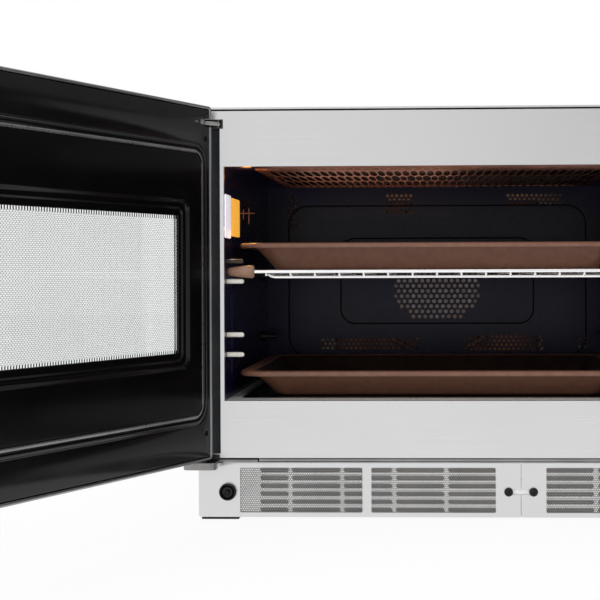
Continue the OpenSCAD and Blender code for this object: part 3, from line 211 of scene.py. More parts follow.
# Moulded ABS with a spark-eroded grain: black with broad soft highlights
mouldedPlastic = makeFinish("moulded_abs", {
    "shades": ("#141415", "#19191a"), "blotch": 20, "grain": 0.9, "rough": (0.3, 0.42), "relief": 0.02})
# Moulded ABS of the fascia: near black, satin, with a fine spark-eroded grain
fasciaPlastic = makeFinish("fascia_abs", {
    "shades": ("#1c1d1f", "#222325"), "blotch": 40, "grain": 1.1, "rough": (0.32, 0.42), "relief": 0.015})
# Moulded rubber: matt, dusty black
mouldedRubber = makeFinish("moulded_rubber", {
    "shades": ("#191919", "#232322"), "blotch": 12, "grain": 1.2, "rough": (0.7, 0.85), "relief": 0.04})
# Moulded silicone: warm brown, soft, with a dull shine
mouldedSilicone = makeFinish("moulded_silicone", {
    "shades": ("#87644f", "#a5836d"), "blotch": 11, "grain": 1.2, "rough": (0.22, 0.32), "relief": 0.02,
    "Subsurface Weight": 0.1, "Subsurface Scale": 0.002})
# Glazed steatite: off-white with a glassy glaze
glazedCeramic = makeFinish("glazed_steatite", {
    "shades": ("#ddd8cf", "#e9e5dd"), "blotch": 8, "grain": 3, "rough": (0.15, 0.25), "relief": 0.02,
    "Coat Weight": 0.4})
# Glass-ceramic plate: almost black, mirror smooth
glassCeramic = makeFinish("glass_ceramic", {
    "shades": ("#0f0f12", "#141418"), "blotch": 15, "grain": 5, "rough": (0.06, 0.1), "relief": 0.004,
    "Coat Weight": 0.3})
# Black oxide on screws: dark with a dull metal glint
blackOxide = makeFinish("black_oxide_steel", {
    "shades": ("#111112", "#19191b"), "blotch": 4, "grain": 0.9, "rough": (0.3, 0.45), "Metallic": 0.4})
# Sprayed matt paint on perforated sheet: black, no highlights. It is also laid inside the door's skin as
# painted shade.
screenPaintAndShade = makeFinish("matt_black_paint_and_shade", {
    "shades": ("#0c0c0c", "#121212"), "blotch": 12, "grain": 0.9, "rough": (0.5, 0.6),
    "Specular IOR Level": 0.3})

# Hot-dip galvanised sheet: flat spangles, each a slightly different grey
galvanised = makeFinish("galvanised_sheet", {
    "shades": ("#b3b6b8", "#c3c5c6"), "blotch": 50, "grain": 2, "rough": (0.35, 0.5), "relief": 0.004,
    "Metallic": 1})
spangles = {"size": 8, "shades": [(0, "#b4b7b9"), (1, "#c2c4c5")]}
addPattern(galvanised, "TexVoronoi", {"Scale": perMetre / spangles["size"]}, "Color", spangles["shades"])

# Laminated circuit board: green lacquer over copper tracks
circuitBoard = makeFinish("laminated_board", {
    "shades": ("#1e4a2a", "#255832"), "blotch": 18, "grain": 1, "rough": (0.25, 0.4)})
boardTracks = {"size": 12, "track": 0.03, "lacquer": ("#1e4a2a", "#275f37"), "copper": "#5c8a4a"}
addPattern(circuitBoard, "TexBrick", {
    "Scale": perMetre / boardTracks["size"], "Mortar Size": boardTracks["track"],
    "Color1": boardTracks["lacquer"][0], "Color2": boardTracks["lacquer"][1],
    "Mortar": boardTracks["copper"]}, "Color")

# Float glass: clear, faintly green
floatGlass = makeFinish("float_glass", {
    "shades": ("#f5f8f7", "#f8fbfa"), "blotch": 80, "grain": 40, "rough": (0, 0.01), "relief": 0.001,
    "Transmission Weight": 1, "IOR": 1.5})
# Chemically etched black glass over the display: deep black, clean reflections
displayGlass = makeFinish("display_glass", {
    "shades": ("#060708", "#08090b"), "blotch": 60, "grain": 20, "rough": (0.03, 0.06), "relief": 0.001,
    "Coat Weight": 0.6})
# Bulb glass, lit from inside
lampGlass = makeFinish("lamp_glass", {
    "shades": ("#ffe0b0", "#ffe8c4"), "blotch": 6, "grain": 2, "rough": (0.05, 0.1), "relief": 0.002,
    "Emission Color": "#ffb048", "Emission Strength": 1.5})

# Spun steel of the start button: bright, with soft-edged reflections
spunSteel = makeFinish("spun_steel", {
    "shades": ("#d2d2d4", "#dededf"), "blotch": 12, "grain": 1.2, "rough": (0.2, 0.3), "relief": 0.002,
    "Metallic": 1})

# Lamp screen: steel punched with small holes, with the lit lamp behind, so it glows orange
litScreen = makeFinish("lit_lamp_screen", {
    "shades": ("#b06a1e", "#c97f2c"), "blotch": 12, "grain": 2, "rough": (0.4, 0.5),
    "Emission Strength": 0.9})
screenHoles = {"pitch": 2.4, "uneven": 0.3, "glow": [(0.3, "#ffc454"), (0.75, "#e8962c")]}
addPattern(litScreen, "TexVoronoi", {
    "Scale": perMetre / screenHoles["pitch"], "Randomness": screenHoles["uneven"]}, "Distance",
    screenHoles["glow"], "Emission Color")
print("materials made")


# Points of a rectangle with round corners, counter-clockwise
def roundRing(low, high, radius, steps=6):
    half = min(high[0] - low[0], high[1] - low[1]) / 2
    r = max(leastRadius, min(radius, half - leastRadius))
    points = []
    for u, v, start in ((high[0] - r, high[1] - r, 0), (low[0] + r, high[1] - r, 90),
                        (low[0] + r, low[1] + r, 180), (high[0] - r, low[1] + r, 270)):
        for i in range(steps + 1):
            a = radians(start + 90 * i / steps)
            points.append((u + r * cos(a), v + r * sin(a)))
    return points


# Steps of a round edge, as shares of its radius: how far in and how far up
def roundSteps(steps, turn=90):
    return [(1 - cos(a), sin(a)) for a in (radians(turn * k / steps) for k in range(steps + 1))]


# Skins a row of rings of equal length; loop joins the last ring to the first
def loft(rings, loop=False, caps=False):
    n = len(rings[0])
    points = [p for ring in rings for p in ring]
    faces = []
    for k in range(len(rings) if loop else len(rings) - 1):
        a, b = k * n, (k + 1) % len(rings) * n
        faces += [(a + i, a + (i + 1) % n, b + (i + 1) % n, b + i) for i in range(n)]
    if caps:
        faces += [tuple(range(n - 1, -1, -1)), tuple(range(len(points) - n, len(points)))]
    return points, faces


# A panel facing along Y: each row is (low corner, high corner, corner radius, y)
def panelLoft(rows, loop=False, caps=False, steps=6):
    rings = [[(u, y, v) for u, v in roundRing(low, high, r, steps)] for low, high, r, y in rows]
    return loft(rings, loop, caps)


# Points of a circle round a middle, across two directions
def circle(middle, radius, side, other, steps):
    angles = (2 * pi * k / steps for k in range(steps))
    return [tuple(middle + radius * (side * cos(a) + other * sin(a))) for a in angles]


# Turned form: profile of (radius, height) along an axis from a point. It closes just off the axis.
def turned(profile, foot, axis, steps=32):
    axis = Vector(axis).normalized()
    side = axis.orthogonal().normalized()
    other = axis.cross(side)
    return loft([circle(Vector(foot) + axis * height, max(radius, leastRadius), side, other, steps)
                 for radius, height in profile], caps=True)


# Round plug that a cutOut takes away as a hole
def drill(radius, depth, foot, axis):
    return turned([(radius, 0), (radius, depth)], foot, axis)


# Round bar along a path of points, with domed ends
def bar(path, radius, sides=12):
    path = [Vector(p) for p in path]
    last = len(path) - 1
    dome = ((0, 0.3), (0.12, 0.75), (0.35, 1))  # way along and width, as shares of the radius
    side = (path[1] - path[0]).orthogonal().normalized()
    rings = []
    for i, p in enumerate(path):
        head = (path[min(i + 1, last)] - path[max(i - 1, 0)]).normalized()
        side = (side - head * side.dot(head)).normalized()
        stations = [(0, 1)]
        if i == 0:
            stations = dome
        elif i == last:
            stations = [(-along, wide) for along, wide in reversed(dome)]
        rings += [circle(p + head * along * radius, wide * radius, side, head.cross(side), sides)
                  for along, wide in stations]
    return loft(rings, caps=True)


def rectangle(low, high):
    return [(low[0], low[1]), (high[0], low[1]), (high[0], high[1]), (low[0], high[1])]


def inset(low, high, by):
    return (low[0] + by, low[1] + by), (high[0] - by, high[1] - by)


# Low and high corner of a rectangle round its middle
def around(middle, half):
    return (middle[0] - half[0], middle[1] - half[1]), (middle[0] + half[0], middle[1] + half[1])


# Box over a range in x, y and z
def block(x, y, z):
    base = rectangle((x[0], y[0]), (x[1], y[1]))
    return loft([[(u, v, height) for u, v in base] for height in z], caps=True)


def within(value, limits):
    return limits[0] < value < limits[1]


# Several forms as one
def together(*parts):
    points, faces = [], []
    for p, f in parts:
        faces += [tuple(i + len(points) for i in face) for face in f]
        points += p
    return points, faces


# Sheet of hexagon cells with holes, trimmed to a convex outline and laid out by place(u, v).
# squash draws the rows together or apart, and a hole has 6 or 12 sides.
# kindOf(u, v) gives True for a cell with a hole, False for a plain one and None for no cell.
def punchedSheet(outline, pitch, hole, place, squash=1, sides=12, kindOf=lambda u, v: True):
    points, faces, seen = [], [], {}
    low = [min(p[k] for p in outline) for k in (0, 1)]
    high = [max(p[k] for p in outline) for k in (0, 1)]
    step, across = pitch * sqrt(3) / 2, pitch / sqrt(3)

    def squashed(u, v):
        return u, low[1] + (v - low[1]) * squash

    def shared(u, v):
        key = (round(u, 3), round(v, 3))
        if key not in seen:
            seen[key] = len(points)
            points.append((*squashed(u, v), 0))
        return seen[key]

    for j in range(int((high[1] - low[1]) / squash / step) + 3):
        for i in range(int((high[0] - low[0]) / pitch) + 3):
            u, v = low[0] + (i - 1 + 0.5 * (j % 2)) * pitch, low[1] + (j - 1) * step
            kind = kindOf(*squashed(u, v))
            if kind is None:
                continue
            tips = [(u + across * cos(a), v + across * sin(a))
                    for a in (radians(60 * k + 30) for k in range(7))]
            rim = []
            for p, q in zip(tips, tips[1:]):
                rim.append(shared(*p))
                if sides == 12:
                    rim.append(shared((p[0] + q[0]) / 2, (p[1] + q[1]) / 2))
            if not kind:
                faces.append(tuple(rim))
                continue
            first = len(points)
            for k in range(sides):
                a = radians(360 * k / sides + 30)
                points.append((*squashed(u + hole / 2 * cos(a), v + hole / 2 * sin(a)), 0))
            faces += [(rim[k], rim[(k + 1) % sides], first + (k + 1) % sides, first + k)
                      for k in range(sides)]
    mesh = bmesh.new()
    verts = [mesh.verts.new(p) for p in points]
    for face in faces:
        mesh.faces.new([verts[i] for i in face])
    for p, q in zip(outline, outline[1:] + outline[:1]):
        bmesh.ops.bisect_plane(mesh, geom=mesh.verts[:] + mesh.edges[:] + mesh.faces[:], plane_co=(*p, 0),
                               plane_no=(q[1] - p[1], p[0] - q[0], 0), clear_outer=True)
    mesh.verts.index_update()
    made = [place(v.co.x, v.co.y) for v in mesh.verts], [tuple(v.index for v in f.verts) for f in mesh.faces]
    mesh.free()
    return made


def addObject(name, data):
    made = bpy.data.objects.new(name, data)
    scene.collection.objects.link(made)
    return made


# Mesh of a form (points in mm, faces); the faces of a closed one are turned outwards
def makeMesh(name, form, closed=True):
    mesh = bpy.data.meshes.new(name)
    mesh.from_pydata([Vector(p) * mm for p in form[0]], [], form[1])
    if closed:
        shape = bmesh.new()
        shape.from_mesh(mesh)
        bmesh.ops.recalc_face_normals(shape, faces=shape.faces)
        shape.to_mesh(mesh)
        shape.free()
    return mesh


def smoothShade(mesh, angle=35):
    mesh.shade_smooth()
    mesh.set_sharp_from_angle(angle=radians(angle))


hinge = next(j for j in frame["joints"] if j["name"] == "door_hinge")
pivot = Vector(hinge["pos_m"])
openAngle = radians(hinge["range_deg"][0])
# The door's pieces are drawn with the door shut, and swung open by this
doorPlace = Matrix.Translation(pivot) @ Matrix.Rotation(openAngle, 4, "Z") @ Matrix.Translation(-pivot)
pivotX, pivotY = pivot.x / mm, pivot.y / mm


# Puts a form into the scene, on its body, for the CAD nodes it stands for
def makePiece(name, form, material, body, replaced=(), angle=35, bevel=0, thickness=0, closed=True):
    mesh = makeMesh(name, form, closed)
    piece = addObject(name, mesh)
    mesh.materials.append(material)
    smoothShade(mesh, angle)
    if thickness:
        piece.modifiers.new("thickness", "SOLIDIFY").thickness = thickness * mm
    if bevel:
        edges = piece.modifiers.new("soft_edges", "BEVEL")
        edges.width, edges.segments = bevel * mm, 2
        edges.limit_method, edges.angle_limit = "ANGLE", radians(40)
        edges.harden_normals = True
    if body == "door":
        piece.matrix_world = doorPlace
    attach(piece, body)
    if replaced:
        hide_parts(*replaced)
    return piece


# Cuts forms that don't overlap out of a piece, then keeps the result as its mesh
def cutOut(piece, *forms):
    cutter = addObject("cutter", makeMesh("cutter", together(*forms)))
    cutter.matrix_world = piece.matrix_world.copy()
    cut = piece.modifiers.new("cut", "BOOLEAN")
    cut.operation, cut.solver, cut.object = "DIFFERENCE", "EXACT", cutter
    piece.modifiers.move(len(piece.modifiers) - 1, 0)
    later = [m for m in piece.modifiers if m.name != "cut"]
    for m in later:
        m.show_viewport = False
    bpy.context.view_layer.update()
    mesh = bpy.data.meshes.new_from_object(piece.evaluated_get(bpy.context.evaluated_depsgraph_get()))
    piece.modifiers.remove(cut)
    for m in later:
        m.show_viewport = True
    smoothShade(mesh)
    piece.data = mesh
    bpy.data.objects.remove(cutter)


# Gives part of a piece a second finish; test takes a face's centre in mm and its normal
def paintPart(piece, material, test):
    piece.data.materials.append(material)
    index = len(piece.data.materials) - 1
    for face in piece.data.polygons:
        if test(face.center / mm, face.normal):
            face.material_index = index


# A CAD node whose shape is right keeps it and gets its finish
def paint(material, *names):
    for name in names:
        mesh = nodes[name].data
        if not mesh.materials:
            mesh.materials.append(material)
        for i in range(len(mesh.materials)):
            mesh.materials[i] = material


# A copy of a CAD node with its flat faces whole and its edges softened
def dressed(name, material, body, bevel, weld=0.01, flatAngle=0.5):
    shape = bmesh.new()
    shape.from_mesh(nodes[name].data)
    bmesh.ops.remove_doubles(shape, verts=shape.verts, dist=weld * mm)
    bmesh.ops.dissolve_limit(shape, angle_limit=radians(flatAngle), verts=shape.verts, edges=shape.edges)
    form = [tuple(v.co / mm) for v in shape.verts], [tuple(v.index for v in f.verts) for f in shape.faces]
    shape.free()
    return makePiece(name + "_soft", form, material, body, (name,), bevel=bevel)


# Box of a CAD node in mm
def boxOf(name):
    low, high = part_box(name)
    return low / mm, high / mm


# Door: folded steel skin with a rolled outer edge, a notch for the hinge arm and a hole for the bottom pin
doorSkin = {
    "outline": ((-300, 56.4), (146, 382.6)), "outerY": -274, "rimY": -244.6, "edge": 3, "corner": 3,
    "radius": 4, "sheet": 1.2, "window": ((-277.2, 130.8), (123.2, 307.2)), "windowRadius": 6,
    "windowBevel": 0.5, "notchX": (-301, pivotX + 3), "notchY": (pivotY - 5.2, -243),
    "notchZ": (363.35, 371.75), "pinRadius": 3.4, "pinDepth": 8, "pinZ": 54, "insideX": (-298, 144),
    "insideZ": (58.5, 380.5), "insideY": -273.5, "shadedRimY": -247.5}


def doorSkinForm(d):
    rows = [(*inset(*d["window"], by), d["windowRadius"] - by, d["outerY"] + y)
            for by, y in ((0, d["sheet"]), (0, d["windowBevel"]), (-d["windowBevel"], 0))]
    for over, up in roundSteps(4):
        by, y = d["corner"] * (1 - up), d["outerY"] + d["corner"] * over
        rows.append((*inset(*d["outline"], by), d["radius"], y))
    for k, (over, up) in enumerate(roundSteps(8, 180)):  # rolled edge, which shades from light to dark
        rows.append((*inset(*d["outline"], d["edge"] / 2 * over), d["radius"] - k / 4,
                     d["rimY"] - d["edge"] / 2 * (1 - up)))
    rows.append((*inset(*d["outline"], d["edge"]), d["radius"] / 2, d["outerY"] + d["sheet"]))
    return panelLoft(rows, loop=True)


skin = makePiece("door_shell", doorSkinForm(doorSkin), brushedSteel, "door", ("door_skin",))
cutOut(skin, block(doorSkin["notchX"], doorSkin["notchY"], doorSkin["notchZ"]),
       drill(doorSkin["pinRadius"], doorSkin["pinDepth"], (pivotX, pivotY, doorSkin["pinZ"]), upward))
# The inside of the door's skin is painted matt black as painted shade, so the hinge notch shows dark
paintPart(skin, screenPaintAndShade, lambda c, n: within(c.x, doorSkin["insideX"])
          and within(c.z, doorSkin["insideZ"]) and c.y > doorSkin["insideY"])
# The rolled edge takes the darker steel as painted shade
paintPart(skin, shadedRimSteel, lambda c, n: c.y > doorSkin["shadedRimY"])

# Tunnel between the glass and the screen: folded bright sheet, which keeps the window light at a low angle
windowTunnel = {
    "screen": ((-253.4, 156.5), (97, 281.6)), "screenRadius": 3, "screenY": -250.6, "sheet": 0.6,
    "glass": ((-276, 133), (121, 305)), "glassRadius": 6, "glassY": -269.6}


def windowTunnelForm(d):
    ends = (("screen", 0), ("glass", 0), ("glass", -d["sheet"]), ("screen", -d["sheet"]))
    return panelLoft([(*inset(*d[end], by), d[end + "Radius"], d[end + "Y"]) for end, by in ends], loop=True,
                     steps=4)


makePiece("window_tunnel", windowTunnelForm(windowTunnel), brushedSteel, "door")

# Liner: pressed steel, gloss black, with an embossed border and a soft recess round the window.
# Bead and dish are rows of (way in from their outline, depth).
doorLiner = {
    "outline": ((-296.8, 59.6), (142.8, 379.4)), "radius": 2, "edge": 1.6, "backY": -250, "plateY": -245.5,
    "faceY": -244, "recessY": -248, "border": ((-288.6, 93), (134.6, 345)), "borderRadius": 17,
    "recess": ((-261, 144), (110, 294)), "recessRadius": 10, "window": ((-249.6, 157.6), (94, 280.4)),
    "windowRadius": 3, "windowEdge": 0.4,
    "bead": ((-3.6, -1.5), (-2.6, -2.1), (-1.8, -1.9), (-0.8, -0.6), (0, -0.1), (1.4, 0), (2.6, -0.3),
        (3.4, -0.9), (4.1, -0.7), (4.8, -0.15), (5.6, 0.15), (6.4, 0.1), (7, -0.2), (7.8, -0.3),
        (8.6, -0.1), (9.6, 0)), "ridge": (4.1, 7), "deepFrom": 1, "facing": 0.9,
    "dish": ((-3, 0), (-1.2, -0.4), (0.6, -1.4), (2.2, -2.4), (3.6, -2.5), (5, -2.3), (6.2, -2.7),
        (7.6, -3.6), (9.2, -4))}


def doorLinerForm(d):
    foot = d["plateY"] - d["edge"]  # the edge is round, which shows as a thin light line
    rows = [(*d["window"], d["windowRadius"], d["backY"]), (*d["outline"], d["radius"], d["backY"])]
    rows += [(*inset(*d["outline"], d["edge"] * over), d["radius"], foot + d["edge"] * up)
             for over, up in roundSteps(4)]
    rows += [(*inset(*d["border"], by), d["borderRadius"] - by * 0.8, d["faceY"] + y) for by, y in d["bead"]]
    rows += [(*inset(*d["recess"], by), d["recessRadius"] - by / 2, d["faceY"] + y) for by, y in d["dish"]]
    edge = d["windowEdge"]
    rows += [(*inset(*d["window"], -0.1 - edge), d["windowRadius"] + edge, d["recessY"]),
             (*d["window"], d["windowRadius"], d["recessY"] - edge)]
    return panelLoft(rows, loop=True, steps=8)


# Cuts through the liner: the hinge arm's notch, slots for the latch hooks and the screws' holes
linerCuts = {
    "y": (-252, -243), "notchX": (-298, -289.9), "latchX": (136.4, 142.2), "latchZ": (145, 283),
    "latchBelow": 9.6, "latchAbove": 19.6, "screwHole": 2.6}
doorScrews = {"x": (-290.3, 138.6), "z": (82, 352), "footY": -249.4, "radius": 2.5, "height": 3.2}
# Slot that takes the hinge arm when the door is shut, and the bright tapered groove that leads into it.
# The groove runs between rows of (x, z, radius).
hingeSlot = {
    "radius": 2.4, "length": 26, "slope": 0.7216, "z": 367.55, "mouthX": (-291, -283.8),
    "groove": ((-282.5, 367.5, 1.9), (-273.5, 366.9, 0.5)), "grooveY": -245.3, "brightX": (-282.5, -273),
    "brightY": (-248, -245.52), "brightZ": (365.2, 369.4)}


def hingeSlotForms(d):
    end = (pivotX + d["length"], pivotY + d["length"] * d["slope"], d["z"])
    slot = bar([(pivotX, pivotY, d["z"]), end], d["radius"], 24)
    mouth = block(d["mouthX"], linerCuts["y"], (d["z"] - d["radius"], d["z"] + d["radius"]))
    turns = [radians(30 * i) for i in range(12)]
    groove = loft([[(x, d["grooveY"] + r * cos(a), z + r * sin(a)) for a in turns]
                   for x, z, r in d["groove"]], caps=True)
    return slot, mouth, groove


def linerCutForms(d):
    screws = [(x, d["y"][0], z) for x in doorScrews["x"] for z in doorScrews["z"]]
    return [block(d["notchX"], d["y"], doorSkin["notchZ"]),
            *[block(d["latchX"], d["y"], (z - d["latchBelow"], z + d["latchAbove"])) for z in d["latchZ"]],
            *[drill(d["screwHole"], d["y"][1] - d["y"][0], foot, inward) for foot in screws]]


liner = makePiece("door_inner_panel", doorLinerForm(doorLiner), stovedPaint, "door",
                  ("door_liner",))
for form in hingeSlotForms(hingeSlot):  # these overlap, so each is cut by itself
    cutOut(liner, form)
cutOut(liner, *linerCutForms(linerCuts))


# How far inside the liner's border a face lies
def insideBorder(c, d=doorLiner):
    r, (low, high) = d["borderRadius"], d["border"]
    dx = max(low[0] + r - c.x, c.x - high[0] + r)
    dz = max(low[1] + r - c.z, c.z - high[1] + r)
    return r - (hypot(dx, dz) if dx > 0 and dz > 0 else max(dx, dz))


paintPart(liner, deepPaint, lambda c, n: insideBorder(c) > doorLiner["deepFrom"]
          and n.y > doorLiner["facing"])
paintPart(liner, millAluminium, lambda c, n: within(c.x, hingeSlot["brightX"])
          and within(c.y, hingeSlot["brightY"]) and within(c.z, hingeSlot["brightZ"]))
# The ridge of the liner's border takes the lighter metal as a painted highlight
paintPart(liner, ridgeHighlight, lambda c, n: within(insideBorder(c), doorLiner["ridge"])
          and c.y > doorLiner["backY"] + 1)

# Screen: thin sheet punched all over, with a comb of slots along its top and bottom.
# The rows stand closer than the pitch, as the screen and its image in the glass show together.
doorScreen = {
    "low": (-253, 160.2), "high": (96, 277.4), "y": -250.2, "pitch": 3.25, "hole": 3.3, "squash": 0.55,
    "combTop": (277.4, 280.9), "combFoot": (157.2, 160.2), "bar": 1.45}


def doorScreenForm(d):
    sheet = punchedSheet(rectangle(d["low"], d["high"]), d["pitch"], d["hole"], lambda u, v: (u, d["y"], v),
                         squash=d["squash"], sides=6)
    points, faces = [], []
    for z0, z1 in (d["combTop"], d["combFoot"]):
        for i in range(int((d["high"][0] - d["low"][0]) / d["pitch"])):
            x = d["low"][0] + i * d["pitch"]
            faces.append(tuple(range(len(points), len(points) + 4)))
            points += [(u, d["y"], v) for u, v in rectangle((x, z0), (x + d["bar"], z1))]
    return together(sheet, (points, faces))


makePiece("door_mesh", doorScreenForm(doorScreen), screenPaintAndShade, "door", ("door_screen",),
          closed=False)

# Turned heads of socket screws; their rows are shares of (radius, height)
screwRows = ((0.96, 0), (1, 0.2), (0.98, 0.6), (0.8, 0.9), (0.5, 1), (0.42, 0.96), (0.4, 0.35), (0, 0.3))


def screwHeads(d, axis):
    profile = [(d["radius"] * across, d["height"] * up) for across, up in screwRows]
    return together(*[turned(profile, (x, d["footY"], z), axis, 24) for x in d["x"] for z in d["z"]])


makePiece("door_screw_heads", screwHeads(doorScrews, inward), blackOxide, "door",
          ("door_screws",))

# Handle: polished tube with rounded ends on two turned posts.
# End rows are (share of the radius, way along); post rows are (radius, way short of the skin).
doorHandle = {
    "x": 112, "y": -315, "z": 219.5, "half": 135, "radius": 9,
    "end": ((0, 0.4), (0.7, 0), (0.92, 0.5), (1, 1.8)), "postAt": 113, "postFrom": (5.1, 2),
    "postRows": ((5.1, 8), (6, 6), (8.5, 1.5), (8.5, 0))}


def doorHandleForm(d):
    length = 2 * d["half"]
    end = [(d["radius"] * share, along) for share, along in d["end"]]
    parts = [turned(end + [(r, length - along) for r, along in reversed(end)],
                    (d["x"], d["y"], d["z"] - d["half"]), upward, 40)]
    reach = doorSkin["outerY"] - d["y"]
    post = [d["postFrom"]] + [(r, reach - short) for r, short in d["postRows"]]
    parts += [turned(post, (d["x"], d["y"], d["z"] + s * d["postAt"]), inward) for s in (-1, 1)]
    return together(*parts)


makePiece("door_grip", doorHandleForm(doorHandle), polishedSteel, "door", ("door_handle",))
paint(floatGlass, "door_glass")
paint(galvanised, "door_frame")
paint(platedSteel, "door_hinge_blocks")
dressed("latch_hooks", polishedSteel, "latch", 0.4)
print("door made")

# Filter covers: folded steel with two windows of fine mesh each, an open slot for the seam screw,
# a hole for the thumb knob and a corner cut off at the foot
filterCover = {
    "seam": 0.3, "endX": 299.5, "frontY": -242, "endY": -227.3, "sheet": 1.2,
    "fold": ((0.8, 0), (0.2, 0.3), (0, 0.9)), "low": 2.2, "high": 52.3,
    "windows": ((23.4, 138.4), (146.8, 260.6)), "windowZ": (6.4, 48), "windowRadius": 1.2, "pitch": 2.1,
    "hole": 1.66, "meshEdge": 0.4, "meshDepth": 1.5, "meshSheet": 0.3, "slotEnd": 14.5, "slotHalf": 2.7,
    "knobX": 272, "knobZ": 25.7, "knobHole": 2.6, "cornerX": 2.5, "cornerZ": 3}


def filterCoverForm(d, side):
    x, y, t = d["endX"], d["frontY"], d["sheet"]
    outline = [(d["seam"], y), *[(x - by, y + back) for by, back in d["fold"]], (x, d["endY"]),
               (x - t, d["endY"]), (x - t, y + t), (d["seam"], y + t)]
    return loft([[(side * x, y, z) for x, y in outline] for z in (d["low"], d["high"])], caps=True)


def filterCutForms(d, side):
    through = (d["frontY"] - 2, d["frontY"] + 4)  # past both faces of the sheet
    holes = [(ends, d["windowZ"], d["windowRadius"]) for ends in d["windows"]]
    slot = d["slotHalf"]
    holes.append(((d["slotEnd"], -1), (d["knobZ"] - slot, d["knobZ"] + slot), slot))
    forms = []
    for ends, (z0, z1), radius in holes:
        x0, x1 = sorted(side * x for x in ends)
        forms.append(panelLoft([((x0, z0), (x1, z1), radius, y) for y in through], caps=True))
    forms.append(drill(d["knobHole"], 8, (side * d["knobX"], d["frontY"] - 3, d["knobZ"]), inward))
    x0, x1, z = d["endX"] - d["cornerX"], d["endX"] + 1, d["low"]
    corner = [(side * x0, z - 1), (side * x1, z - 1), (side * x1, z + d["cornerZ"])]
    forms.append(loft([[(x, y, z) for x, z in corner] for y in (d["frontY"] - 1, d["endY"] + 5)], caps=True))
    return forms


def makeFilter(side, name):
    d = filterCover
    cover = makePiece("air_filter_" + name, filterCoverForm(d, side), brushedSteel, "filter_cover_" + name,
                      ("filter_" + name,), bevel=0.35)
    cutOut(cover, *filterCutForms(d, side))
    for i, ends in enumerate(d["windows"]):
        x0, x1 = sorted(side * x for x in ends)
        window = rectangle(*inset((x0, d["windowZ"][0]), (x1, d["windowZ"][1]), -d["meshEdge"]))
        mesh = punchedSheet(window, d["pitch"], d["hole"], lambda u, v: (u, d["frontY"] + d["meshDepth"], v),
                            sides=6)
        makePiece("air_mesh_%s_%d" % (name, i), mesh, millAluminium, "filter_cover_" + name,
                  closed=False, thickness=d["meshSheet"])


makeFilter(-1, "left")
makeFilter(1, "right")

# Thumb knob: moulded, with a raised rim round a shallow dish and a small button in its middle.
# Its rows are (way in from the edge, height), from the stem to the button.
thumbKnob = {
    "radius": 8, "faceY": -242.2,
    "rows": ((5.8, -6), (5.8, -0.2), (0.8, 0), (0, 0.6), (0, 3), (0.3, 4.2), (0.9, 4.8), (1.5, 4.6),
        (1.8, 3.2), (2.3, 2.6), (2.6, 3.4), (3.2, 4.2), (4.1, 4), (5.3, 3.2), (5.9, 3.1), (6.1, 3.9),
        (6.6, 4.5), (7.3, 4.8), (8, 4.9))}


def thumbKnobForm(d, side):
    profile = [(d["radius"] - by, height) for by, height in d["rows"]]
    return turned(profile, (side * filterCover["knobX"], d["faceY"], filterCover["knobZ"]), outward, 48)


for side, name in ((-1, "left"), (1, "right")):
    makePiece("thumb_screw_" + name, thumbKnobForm(thumbKnob, side), polishedPlastic, "thumb_knob_" + name,
              ("knob_" + name,))

seamScrews = {"x": (-11.5, 11.5), "z": (filterCover["knobZ"],), "footY": -242.2, "radius": 4.1, "height": 2.4}
makePiece("seam_screw_heads", screwHeads(seamScrews, outward), blackOxide, "casing",
          ("seam_screws",))

# Rounded fold along the top of the base panel, which shows as a grey line over the covers
plinthFold = {"x": (-243.6, 276), "y": -239.1, "z": 54.8, "radius": 2}
foldEnds = [(x, plinthFold["y"], plinthFold["z"]) for x in plinthFold["x"]]
makePiece("plinth_fold", bar(foldEnds, plinthFold["radius"]), millAluminium, "casing")
dressed("feet", mouldedRubber, "casing", 1)
print("base made")

# Pans: drawn, with a wide flat rim rolled down at its edge. Rows are (way in from the edge, height),
# over the underside, round the rim and down the inside.
panShape = {
    "rimWidth": 12, "rimCorner": 26, "wallCorner": 20, "shadeTilt": 0.2, "shadeFrom": 1,
    "rows": ((40, 1.2), (35.5, 1.3), (32.6, 2.2), (31, 4), (14.2, 22.4), (13.2, 24), (11.6, 25),
        (10.6, 25.2), (3, 25.2), (1.4, 24.9), (0.4, 24.1), (0, 22.9), (0, 21), (0.3, 20.5), (1.1, 20.5),
        (1.4, 21), (1.6, 23), (3, 24), (11, 24), (12.4, 23.2), (13.4, 21.6), (30.4, 3), (31.8, 1.2),
        (34, 0.2), (40, 0))}


def panForm(d, low, high):
    rings = []
    for by, height in d["rows"]:
        past = by - d["rimWidth"]  # the wall's corners tighten by 6 mm over 19 mm
        radius = d["rimCorner"] - by / 2 if past < 0 else d["wallCorner"] - past * 6 / 19
        ring = roundRing(*inset((low.x, low.y), (high.x, high.y), by), radius, 8)
        rings.append([(u, v, low.z + height) for u, v in ring])
    return loft(rings, caps=True)


for node, body in (("upper_pan", "pan_on_rack"), ("lower_pan", "pan_on_floor")):
    low, high = boxOf(node)
    pan = makePiece(node + "_drawn", panForm(panShape, low, high), bakedNonStick, body, (node,),
                    angle=50)
    inside = Vector(((low.x + high.x) / 2, (low.y + high.y) / 2, low.z))
    shadedBand = (low.z + panShape["shadeFrom"], high.z - panShape["shadeFrom"])
    # The pan's upward inside faces take the darker non-stick as painted shade
    paintPart(pan, shadedNonStick, lambda c, n: n.z > panShape["shadeTilt"]
              and n.dot(inside - c) > 0 and within(c.z, shadedBand))

# Rack: chromed wires welded to each other, with a bent-up lower wire front and back
rackWires = {
    "middle": -77, "frontY": -224, "step": 68.5, "wireZ": 230.2, "wireR": 1.9,
    "ends": (195, 183.4, 183.4, 183.4, 193), "rodZ": 227.3, "rodR": 1.2, "rodPitch": 23, "rods": 15,
    "rodPast": 1, "lowZ": 224.95, "lowR": 1.6, "lowX": 157.4, "lowIn": 12,
    "bend": ((3.2, 2.25), (2.6, 2.2), (0, 0.6), (-4, 0))}  # way out and way up


